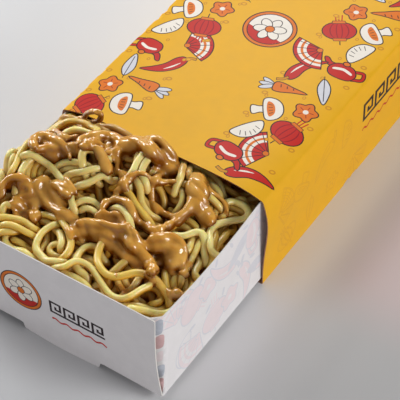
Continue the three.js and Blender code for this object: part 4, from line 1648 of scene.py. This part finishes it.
def bed_level(x, y, depth=BED_DEPTH):
    """A level so far below the heap's surface, with most of its hollows."""
    return heap_top(x, y) - depth - 0.8 * hollow_depth(x, y)


def add_bed(random):
    """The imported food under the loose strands, with strands showing as relief. Returns its height grid."""
    grid = HeightGrid(BED_CELL, lambda x, y: bed_level(x, y) - 1.1)
    layer = {"start": 2, "end": TRAY_LENGTH - 3, "depth": 0.0}
    for _ in range(BED_STRANDS):
        strand = curly_strand(random, random.uniform(-44, 44), random.uniform(4, TRAY_LENGTH - 5), layer)
        line = even_steps(smooth_line(strand, 3), 0.7)
        depth = BED_DEPTH + 1.55 + random.uniform(-0.5, 0.5)
        line[:, 2] = bed_level(line[:, 0], line[:, 1], depth)
        grid.raise_balls(line, NOODLE_RADIUS)
    x, y = grid.places()
    limit = np.minimum(np.abs(x), INSIDE_X) * np.sign(x)
    y_in = np.clip(y, INSIDE_FRONT, INSIDE_BACK)
    beyond = np.abs(limit) + np.maximum(INSIDE_FRONT - y_in, y_in - INSIDE_BACK) - INSIDE_X + CORNER_CUT
    corner = np.clip(beyond, 0, None) / 2
    toward = np.where(y_in < 0, 1.0, -1.0)
    cut_x, cut_y = limit - np.sign(limit) * corner, y_in + toward * corner
    where = np.stack([cut_x, cut_y, grid.height], -1).reshape(-1, 3)
    columns, rows = grid.shape
    number = np.arange(columns * rows).reshape(columns, rows)
    quads = np.stack([number[:-1, :-1], number[1:, :-1], number[1:, 1:], number[:-1, 1:]], -1).reshape(-1, 4)
    loop = np.concatenate([number[:, 0], number[-1, 1:], number[-2::-1, -1], number[0, -2:0:-1]])
    foot = where[loop].copy()
    foot[:, 2] = TRAY_LIFT + 0.3
    low = len(where) + np.arange(len(loop))
    walls = np.stack([loop, low, np.roll(low, -1), np.roll(loop, -1)], 1)
    faces = quads.tolist() + walls.tolist() + [low[::-1].tolist()]
    add_food("food_bed", smooth_mesh("food_bed", np.concatenate([where, foot]), faces, bed_material()))
    return grid


def smooth_mesh(name, points, faces, material):
    """A smoothly shaded mesh."""
    mesh = bpy.data.meshes.new(name)
    mesh.from_pydata((points * MM).tolist(), [], faces)
    mesh.polygons.foreach_set("use_smooth", np.ones(len(faces), bool))
    mesh.materials.append(material)
    return mesh


def add_food(name, mesh):
    thing = linked(name, mesh)
    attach(thing, "tray_with_food")
    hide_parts("noodles")


def set_share(mesh, name, values):
    """Gives each vertex a share from 0 to 1, which a material reads by its name."""
    attribute = mesh.attributes.new(name, "FLOAT", "POINT")
    attribute.data.foreach_set("value", np.clip(values, 0, 1).astype(np.float32))


# ---------------------------------------------------------------------------
# Sauce: runs poured over the strands, as one smooth skin round many balls
# ---------------------------------------------------------------------------

# Each run: half its width, half its height, how far its middle stands above the strands, and its pixels.
SAUCE_RUNS = {
    "fold_ridge": (2.0, 1.8, 3.4, [
        (33, 147), (33, 140), (38, 135), (45, 134), (52, 137), (58, 141), (64, 146), (72, 147), (80, 143),
    ]),
    "fold_belly": (2.8, 1.9, -0.6, [(38, 147), (47, 151), (56, 153), (66, 152), (74, 149)]),
    "fold_mid": (1.6, 1.5, 2.6, [(41, 140), (47, 145), (55, 147.5), (62, 146)]),
    "fold_heel": (1.5, 1.6, 1.6, [(70, 158), (71, 153), (74, 149), (79, 147)]),
    "fold_second": (1.7, 1.6, 2.4, [(36, 151), (44, 147), (52, 146), (60, 149), (67, 151)]),
    "fold_upper": (1.3, 1.3, 0.8, [(44, 133), (50, 131), (56, 131), (60, 134), (66, 139)]),
    "knot_small": (1.2, 1.3, 0.8, [(62, 134), (66, 137), (72, 137), (78, 135)]),
    "arch_upper": (2.4, 2.2, 1.6, [
        (78, 143), (84, 139), (92, 136), (101, 135), (110, 136), (117, 139), (122, 144),
    ]),
    "drip_head": (3.0, 2.1, 2.0, [(82, 146), (88, 143), (95, 143), (101, 146)]),
    "drip": (2.8, 2.2, 1.8, [(97, 147), (101, 153), (103, 160), (106, 166), (109, 172)]),
    "thread": (1.5, 1.5, 1.1, [(105, 153), (111, 153), (116, 155), (118, 161), (116, 167), (118, 172)]),
    "tongue": (2.4, 1.8, 1.0, [(121, 172), (125, 176), (126, 181), (122, 187), (116, 192)]),
    "small_arch": (1.1, 1.3, 1.0, [(126, 176), (131, 175), (137, 172), (143, 173), (149, 177), (152, 182)]),
    "arch": (3.6, 2.7, 2.4, [
        (116, 151), (123, 145), (132, 142), (142, 143), (150, 149), (157, 156), (164, 163), (170, 169),
    ]),
    "arch_mass": (4.4, 2.4, 1.6, [(160, 154), (167, 160), (172, 166), (174, 172)]),
    "arch_foot": (2.8, 1.8, 0.6, [(172, 171), (166, 174), (160, 174)]),
    "ring_top": (1.5, 1.7, 1.2, [
        (176, 171), (168, 172), (161, 174), (156, 178), (153, 184), (152, 192), (152, 200),
    ]),
    "ring_under": (1.3, 1.3, 0.2, [(160, 182), (168, 181), (176, 181)]),
    "ring_foot": (1.7, 1.8, 1.3, [
        (154, 205), (159, 209), (165, 213), (172, 217), (179, 216), (186, 211), (191, 204),
    ]),
    "ring_knot": (1.8, 1.6, 0.6, [(152, 203), (155, 208), (156, 213)]),
    "right_mass": (4.4, 2.4, 1.8, [
        (196, 176), (197, 184), (197, 193), (198, 201), (202, 209), (207, 216), (211, 221),
    ]),
    "right_web": (2.6, 1.6, 0.6, [(182, 213), (188, 208), (194, 204)]),
    "right_lobe": (2.0, 1.8, 0.8, [(203, 216), (206, 221), (208, 225)]),
    "right_fold": (1.4, 1.6, 2.0, [(190, 186), (192, 180), (197, 175), (203, 180), (206, 188)]),
    "right_drip": (1.3, 1.5, 0.8, [(204, 184), (209, 190), (215, 194), (222, 199), (227, 205), (228, 212)]),
    "centre_ring": (1.9, 2.0, 1.4, [
        (101, 208), (105, 203), (111, 200), (119, 199.5), (126, 201), (131, 207), (134, 215), (136, 222),
    ]),
    "centre_lump_a": (1.5, 1.6, 1.1, [(96, 216), (100, 212.5), (105, 212), (109, 215)]),
    "centre_lump_b": (1.7, 1.8, 1.3, [
        (110, 215), (115, 212.5), (120, 215), (123, 221), (127, 228), (132, 236),
    ]),
    "centre_patch": (3.0, 2.0, 0.9, [(66, 213), (71, 216), (74, 222), (75, 230), (76, 236)]),
    "main_ridge": (2.1, 1.8, 5.0, [
        (78, 222), (87, 221.5), (96, 222.5), (105, 225), (114, 227), (122, 227), (128, 224),
    ]),
    "main_slope": (3.0, 2.1, 2.2, [(80, 228), (90, 229), (100, 231), (110, 233), (119, 235)]),
    "main_belly": (3.0, 2.1, -0.8, [(82, 235), (92, 237), (102, 239), (112, 241)]),
    "diagonal_ridge": (2.6, 2.1, 3.6, [
        (119, 232), (125, 238), (131, 244), (138, 250), (145, 256), (150, 263), (153, 271),
    ]),
    "diagonal_side": (3.0, 2.0, 0.2, [(112, 240), (119, 247), (127, 254), (135, 260), (143, 266)]),
    "band_link": (1.8, 1.6, 3.2, [(126, 226), (131, 231), (136, 237), (142, 243), (150, 248)]),
    "patch_top": (2.2, 1.8, 3.2, [(146, 242), (154, 238), (163, 236), (172, 237), (179, 241), (183, 247)]),
    "patch": (3.6, 2.0, 2.4, [(150, 248), (160, 246), (170, 246), (179, 250)]),
    "patch_low": (3.4, 2.0, 1.4, [(163, 254), (172, 255), (181, 258)]),
    "patch_foot": (3.0, 1.9, 0.6, [(168, 261), (175, 263), (181, 264)]),
    "patch_edge": (1.5, 1.6, 2.2, [(181, 242), (184, 248), (184.5, 255), (183, 263)]),
    "lower_bow": (1.8, 1.8, 1.1, [
        (137, 218), (141, 223), (148, 227), (156, 229), (164, 227), (171, 223), (177, 219),
    ]),
    "left_bow": (1.6, 1.8, 1.2, [(0, 190), (3, 184), (8, 178), (14, 176), (22, 177), (29, 179)]),
    "left_knot": (1.6, 1.6, 0.9, [(24, 184), (29, 183), (31, 188), (31, 194)]),
    "left_dome": (2.4, 2.1, 1.5, [(36, 184), (41, 179), (46, 179), (49, 184), (47, 190)]),
    "left_trail": (2.2, 2.1, 1.3, [
        (38, 182), (37, 190), (41, 197), (47, 202), (54, 207), (61, 211), (67, 214),
    ]),
    "left_bulge": (2.6, 2.3, 1.5, [(54, 183), (60, 185), (65, 189), (69, 195)]),
    "left_edge": (1.2, 1.4, 1.4, [(64, 176), (69, 182), (73, 188), (77, 194)]),
    "left_pool": (1.8, 1.7, 0.8, [(14, 198), (20, 197), (26, 195), (31, 193)]),
    "left_pool_middle": (2.4, 1.8, 0.6, [(14, 204), (21, 203), (28, 201)]),
    "left_pool_low": (1.7, 1.7, 0.7, [(34, 203), (33, 209), (33, 215), (36, 220)]),
    "left_pool_deep": (2.0, 1.3, -0.6, [(14, 213), (20, 216), (26, 219)]),
    "left_stub": (1.5, 1.5, 0.5, [(0, 198), (3, 194), (4, 188)]),
    "corner_pool": (3.0, 1.9, 0.4, [(170, 294), (176, 292), (182, 294)]),
    "right_spots": (1.5, 1.5, 0.5, [(179, 272), (184, 273), (189, 275)]),
    "front_spot": (1.8, 1.3, -1.2, [(117, 285), (121, 288), (124, 292)]),
    "left_sheet": (3.8, 1.5, -0.2, [(26, 198), (36, 199), (47, 201), (58, 204)]),
    "left_mass": (3.6, 1.9, 0.6, [(44, 187), (51, 192), (59, 198), (66, 204)]),
    "left_sheet_low": (2.6, 1.4, -0.2, [(12, 206), (20, 208), (28, 211), (36, 214)]),
    "drip_plug": (1.8, 1.4, -0.6, [(104, 142), (107, 146), (109, 151)]),
    "crest_sheet": (2.4, 1.4, -1.2, [(40, 150), (52, 154), (64, 156), (76, 155), (86, 150)]),
    "centre_sheet": (3.2, 1.5, -0.2, [(96, 217), (106, 219), (116, 222), (126, 227)]),
    "drip_sheet": (2.2, 1.5, 0.0, [(104, 146), (109, 153), (112, 160)]),
}

# Runs under the sleeve: the same, with places as x and along.
COVERED_RUNS = [
    (2.6, 1.7, 0.6, [(30, 80), (24, 85), (14, 89), (4, 88)]),
    (2.2, 1.6, 0.6, [(-34, 84), (-24, 88), (-18, 98), (-22, 108)]),
    (2.6, 1.7, 0.6, [(8, 104), (18, 110), (28, 108), (38, 114)]),
    (3.0, 1.7, 0.6, [(-30, 128), (-18, 126), (-8, 132), (2, 130)]),
    (2.2, 1.6, 0.6, [(20, 138), (28, 146), (26, 156), (16, 160)]),
    (2.6, 1.7, 0.6, [(-36, 160), (-26, 166), (-14, 162), (-8, 172)]),
    (2.0, 1.6, 0.6, [(2, 180), (12, 184), (24, 178), (34, 184)]),
]

# Loops of sauce-coated strand that stand up before the mouth: radius, distance from the mouth, and pixels.
STANDING_RUNS = {
    "crest_loop": (1.5, 4.0, [(71, 125), (74, 120), (79, 118), (84, 120), (87, 125), (87, 131)]),
    "arch_outer": (2.2, 3.0, [
        (140, 143), (147, 140), (154, 139), (160, 140.5), (166, 146), (170, 152), (174, 159),
    ]),
    "arch_inner": (2.1, 3.4, [(144, 147), (152, 145), (159, 148), (165, 154), (170, 161)]),
    "crest_left": (1.4, 8.0, [
        (49, 131), (51, 127), (55, 124), (60, 125), (63, 129), (68, 132), (76, 132), (84, 132),
    ]),
    "ring": (1.7, 4.5, [
        (84, 123), (84.5, 117), (88, 113), (94, 111.5), (99, 113), (100.5, 117), (98, 121), (92, 122),
    ]),
}


def standing_balls():
    """Centres and radii of balls along the standing loops."""
    centres, radii = [], []
    for radius, gap, pixels in STANDING_RUNS.values():
        line = even_steps(smooth_line([ray_to_plane(pixel, MOUTH - gap) for pixel in pixels], 6), 0.8)
        centres.append(line)
        radii.append(np.full(len(line), radius))
    return centres, radii


def sauce_runs(drape):
    """Every run as (half width, half height, line of its middle)."""
    runs = []
    for half, thick, lift, pixels in SAUCE_RUNS.values():
        runs.append((half, thick, [ray_to(drape.at, pixel, lift) for pixel in pixels]))
    for half, thick, lift, spots in COVERED_RUNS:
        flat = np.array([(x, FRONT + along) for x, along in spots], float)
        runs.append((half, thick, np.column_stack([flat, drape.at(flat[:, 0], flat[:, 1]) + lift])))
    return [(half, thick, even_steps(smooth_line(places, 6), 1.0)) for half, thick, places in runs]


def sauce_balls(drape, lines, random):
    """Balls whose common skin is the sauce, as centres and radii."""
    centres, radii = standing_balls()
    strand_points = np.concatenate([even_steps(softened(line), 1.1) for line in lines])
    above = strand_points[:, 2] - drape.at(strand_points[:, 0], strand_points[:, 1])
    for half, thick, line in sauce_runs(drape):
        line = softened(line, 3)
        ahead = np.gradient(line[:, :2], axis=0)
        ahead /= np.maximum(1e-9, np.linalg.norm(ahead, axis=1))[:, None]
        aside = np.stack([-ahead[:, 1], ahead[:, 0]], 1)
        phase = random.uniform(0, 6, 3)
        place = np.arange(len(line))
        swelling = 1 + 0.12 * np.sin(place / 4.3 + phase[0]) + 0.07 * np.sin(place / 2.1 + phase[1])
        ends = np.clip(0.7 + np.minimum(place, place[::-1]) / 7, 0, 1)
        width = np.maximum(0, half * swelling * ends - 0.75 * thick)
        tracks = int(np.ceil(width.max() / 0.9))
        for track in range(-tracks, tracks + 1):
            share = track / max(1, tracks)
            flat = line[:, :2] + aside * (share * width)[:, None]
            follow = np.clip(drape.at(flat[:, 0], flat[:, 1]) - line[:, 2], -1.5, 0.5)
            ridge = 0.22 * np.sin(2.6 * track + place / 6.0 + phase[2])
            z = line[:, 2] + 0.35 * abs(share) * follow - 0.42 * thick * share**2 + ridge
            centres.append(np.column_stack([flat, z]))
            radii.append(thick * ends * (1 - 0.2 * share**2) * np.ones(len(line)))
        near = nearest_distance(strand_points[:, :2], line[:, :2])
        coated = (near < half + 0.4) & (above > -3.4)
        centres.append(strand_points[coated])
        radii.append(np.full(int(coated.sum()), NOODLE_RADIUS + 0.4))
    return np.concatenate(centres), np.concatenate(radii)


def nearest_distance(points, line):
    """How far each point lies from the nearest place of a line, both seen from above."""
    best = np.full(len(points), 1e9)
    for spot in line[::2]:
        best = np.minimum(best, np.hypot(points[:, 0] - spot[0], points[:, 1] - spot[1]))
    return best


SKIN_LEVEL = 1.9
SKIN_BLEND = 0.42


def grid_axes(low, cell, first, last):
    """Places along x, y and z of a block of cells, ready to be combined."""
    return np.ix_(*(low[k] + cell * np.arange(first[k], last[k]) for k in range(3)))


def skin_field(centres, radii, low, shape, cell):
    """The log of a sum of falloffs round the balls: zero on their common skin."""
    total = np.zeros(shape)
    for centre, radius in zip(centres, radii):
        reach = radius + 4.5 * SKIN_BLEND
        first = np.maximum(0, np.floor((centre - reach - low) / cell).astype(int))
        last = np.minimum(shape, np.ceil((centre + reach - low) / cell).astype(int) + 1)
        if (last <= first).any():
            continue
        x, y, z = (axis - middle for axis, middle in zip(grid_axes(low, cell, first, last), centre))
        part = np.exp((radius - np.sqrt(x**2 + y**2 + z**2)) / SKIN_BLEND)
        total[first[0] : last[0], first[1] : last[1], first[2] : last[2]] += part
    return np.log(np.maximum(total, 1e-4)) - SKIN_LEVEL + lumps(*grid_axes(low, cell, (0, 0, 0), shape))


def lumps(x, y, z):
    """Uneven folds in the sauce: waves of about 6 mm, bent by slower ones."""
    bent = x + 1.6 * np.sin(0.31 * y + 0.5) + 1.1 * np.sin(0.47 * z)
    across = y + 1.8 * np.sin(0.27 * x) - 1.2 * np.sin(0.38 * z + 1)
    return 0.3 * np.sin(0.82 * bent + 0.4 * z) * np.sin(0.66 * across - 0.5 * z)


def surface_nets(field, low, cell):
    """A closed mesh of quads where a field on a grid passes zero, positive inside."""
    corners = [(i, j, k) for i in (0, 1) for j in (0, 1) for k in (0, 1)]
    nx, ny, nz = (n - 1 for n in field.shape)
    solid = field > 0
    count = sum(solid[i : i + nx, j : j + ny, k : k + nz].astype(np.int8) for i, j, k in corners)
    cells = np.argwhere((count > 0) & (count < 8))
    number = np.full((nx, ny, nz), -1, np.int64)
    number[tuple(cells.T)] = np.arange(len(cells))
    values = [field[cells[:, 0] + i, cells[:, 1] + j, cells[:, 2] + k] for i, j, k in corners]
    total = np.zeros((len(cells), 3))
    crossings = np.zeros(len(cells))
    for a in range(8):
        for b in range(a + 1, 8):
            step = np.array(corners[b]) - np.array(corners[a])
            if np.abs(step).sum() != 1:
                continue
            crossed = (values[a] > 0) != (values[b] > 0)
            share = values[a] / np.where(crossed, values[a] - values[b], 1.0)
            spot = np.array(corners[a]) + share[:, None] * step
            total += np.where(crossed[:, None], spot, 0)
            crossings += crossed
    points = low + cell * (cells + total / crossings[:, None])
    faces = []
    for axis in range(3):
        one, two = (axis + 1) % 3, (axis + 2) % 3
        here = np.moveaxis(solid, axis, 0)
        changed = here[:-1] != here[1:]
        spots = np.argwhere(np.moveaxis(changed, 0, axis))
        spots = spots[(spots[:, one] > 0) & (spots[:, two] > 0)]
        spots = spots[(spots[:, one] < number.shape[one]) & (spots[:, two] < number.shape[two])]
        quad = []
        for back_one, back_two in ((1, 1), (0, 1), (0, 0), (1, 0)):
            spot = spots.copy()
            spot[:, one] -= back_one
            spot[:, two] -= back_two
            quad.append(number[tuple(spot.T)])
        quad = np.stack(quad, 1)
        outward = solid[tuple(spots.T)]
        quad[~outward] = quad[~outward][:, ::-1]
        faces.append(quad)
    return points, np.concatenate(faces)


def face_sides(faces):
    """Both ends of every side of every face, taken each way."""
    first, second = faces.ravel(), np.roll(faces, -1, 1).ravel()
    return np.concatenate([first, second]), np.concatenate([second, first])


def relaxed(points, faces, rounds):
    """Points moved towards the middle of their neighbours and back, which smooths and keeps the size."""
    a, b = face_sides(faces)
    degree = np.bincount(a, minlength=len(points))[:, None]
    for step in range(2 * rounds):
        total = np.stack([np.bincount(a, points[b, k], len(points)) for k in range(3)], 1)
        share = 0.5 if step % 2 == 0 else -0.52
        points = points + share * (total / degree - points)
    return points


FOLD_HEIGHT = 0.9
SAUCE_FOOT = 34.0
SAUCE_CELL = 0.52
COVERED_CELL = 0.9


def sauce_skin(centres, radii, low_y, high_y, cell):
    """Points and quads of the skin round the balls, kept inside the tray and below the sleeve."""
    low = np.array([-HALF_WIDTH, low_y, SAUCE_FOOT])
    high = np.array([HALF_WIDTH, high_y, centres[:, 2].max() + 5])
    shape = tuple(((high - low) / cell).astype(int) + 1)
    field = skin_field(centres, radii, low, shape, cell)
    x, y, z = grid_axes(low, cell, (0, 0, 0), shape)
    roof = sleeve_ceiling(x, y) + 0.2
    walls = np.minimum(INSIDE_X - np.abs(x), np.minimum(y - INSIDE_FRONT, INSIDE_BACK - y))
    above_rim = np.clip(z - RIM - 0.4, 0, None) * (y < MOUTH)
    walls = walls + np.minimum(above_rim, 1.0)
    under = np.maximum(np.minimum(99.0, MOUTH - y), roof - z)
    field = np.minimum(field, np.minimum(walls, under) * 2.0)
    return surface_nets(field, low, cell)


def add_sauce(drape, lines, random):
    """Returns the balls' centres, which stain the strands near them."""
    centres, radii = sauce_balls(drape, lines, random)
    hidden = centres[:, 1] > HIDDEN_Y
    points, faces = sauce_skin(centres[~hidden], radii[~hidden], FRONT, MOUTH + 12, SAUCE_CELL)
    more_points, more_faces = sauce_skin(centres[hidden], radii[hidden], MOUTH, BACK, COVERED_CELL)
    faces = np.concatenate([faces, more_faces + len(points)])
    points = creased(relaxed(np.concatenate([points, more_points]), faces, 3), faces)
    mesh = smooth_mesh("sauce", points, faces.tolist(), sauce_material())
    # Painted shade on the undersides and in the valleys of the sauce's folds.
    set_share(mesh, "low", painted_fold_shade(points, faces))
    add_food("sauce", mesh)
    return centres


def skin_normals(points, faces):
    """Unit normals at the points of a mesh of quads."""
    a, b, c, d = (points[faces[:, k]] for k in range(4))
    across = np.cross(c - a, d - b)
    corners = faces.ravel()
    spread = np.repeat(across, 4, 0)
    total = np.stack([np.bincount(corners, spread[:, k], len(points)) for k in range(3)], 1)
    return total / np.maximum(1e-9, np.linalg.norm(total, axis=1))[:, None]


def creased(points, faces):
    """The sauce's skin with round folds about 5 mm apart and creases between them."""
    x, y, z = points.T
    bent = 0.16 * x + 0.58 * y + 0.9 * np.sin(0.29 * x + 0.5) + 0.5 * np.sin(0.35 * y - 0.2 * z)
    fold = np.abs(np.sin(bent)) - 0.64
    share = 0.6 + 0.4 * np.sin(0.19 * x - 0.27 * y + 1)
    return points + skin_normals(points, faces) * (FOLD_HEIGHT * fold * share)[:, None]


def painted_fold_shade(points, faces):
    """Painted shade for the sauce, from 0 on the crests of the folds to 1 on their undersides and in the
    valleys.
    """
    around = relaxed_heights(points[:, 2], faces, 80)
    down = 1 - skin_normals(points, faces)[:, 2]
    return relaxed_heights(1.7 * down + 0.25 * (around - points[:, 2]) - 0.3, faces, 6)


def relaxed_heights(height, faces, rounds):
    """Heights spread out over the mesh."""
    a, b = face_sides(faces)
    degree = np.bincount(a, minlength=len(height))
    for _ in range(rounds):
        height = 0.4 * height + 0.6 * np.bincount(a, height[b], len(height)) / degree
    return height


NOODLE_SEED = 11
SETTLING = 420
DRAPE_CELL = 0.5
STAIN_REACH = 5.0


def add_noodles():
    """The food: the bed, the strands settled over it, the sauce draped on them, and where it stains them."""
    random = np.random.default_rng(NOODLE_SEED)
    bed = add_bed(random)
    heap = Heap(loose_strands(random), *traced_strands())
    heap.settle(bed.at, SETTLING)
    lines = heap.lines()
    drape = HeightGrid(DRAPE_CELL, bed.at)
    drape.raise_balls(np.concatenate([even_steps(line, 0.6) for line in lines]), NOODLE_RADIUS)
    drape.close_gaps(2.0)
    drape.blur(3)
    names = [*TRACED_STRANDS, *CREST_STRANDS]
    names += [None] * (len(lines) - len(names))
    coated = [line for name, line in zip(names, lines) if name not in BARE_BRIGHTENED_STRANDS]
    centres = add_sauce(drape, coated, random)
    covered = np.split(cover_over(heap.points), np.cumsum(heap.counts)[:-1])
    mesh, where, cover, owner = noodle_mesh(lines, covered, random)
    # Painted shade: strands lying deeper below the heap's surface and under other food are made darker and
    # browner; the bare strands get less of it.
    below = (heap_top(where[:, 0], where[:, 1]) - where[:, 2] - 2.0) / 9.0
    bare_brightened = np.array([name in BARE_BRIGHTENED_STRANDS for name in names])[owner]
    set_share(mesh, "deep", (np.clip(below, 0, 0.7) + 0.4 * cover) * np.where(bare_brightened, 0.4, 1.0))
    near = closeness(where, centres[::3], STAIN_REACH)
    # Painted light: the bare strands and the strands hanging at the left are made paler.
    hanging = np.array([str(name).startswith("left_hang") for name in names])[owner]
    set_share(mesh, "pale", 0.5 * bare_brightened + 0.3 * hanging)
    soaked = np.clip((where[:, 1] - MOUTH + CREST_DEPTH) / 4, 0, 0.9)
    soaked *= np.clip((where[:, 2] - CREST_HEIGHT) / 3, 0, 1)
    set_share(mesh, "stain", np.maximum(soaked, (1.5 * near - 0.55) * ~bare_brightened))
    add_food("noodles_loose", mesh)


def main():
    add_camera()
    add_lights()
    # The sleeve's raw inner face and cut edges are a mauve-brown: painted warm shade, as in the gap between
    # tray and sleeve.
    add_sleeve(raw_board("raw_sleeve_painted_shade", linear(178, 126, 98)))
    add_tray(raw_board("raw_board", linear(228, 224, 218)))
    add_noodles()
    add_floor()


main()
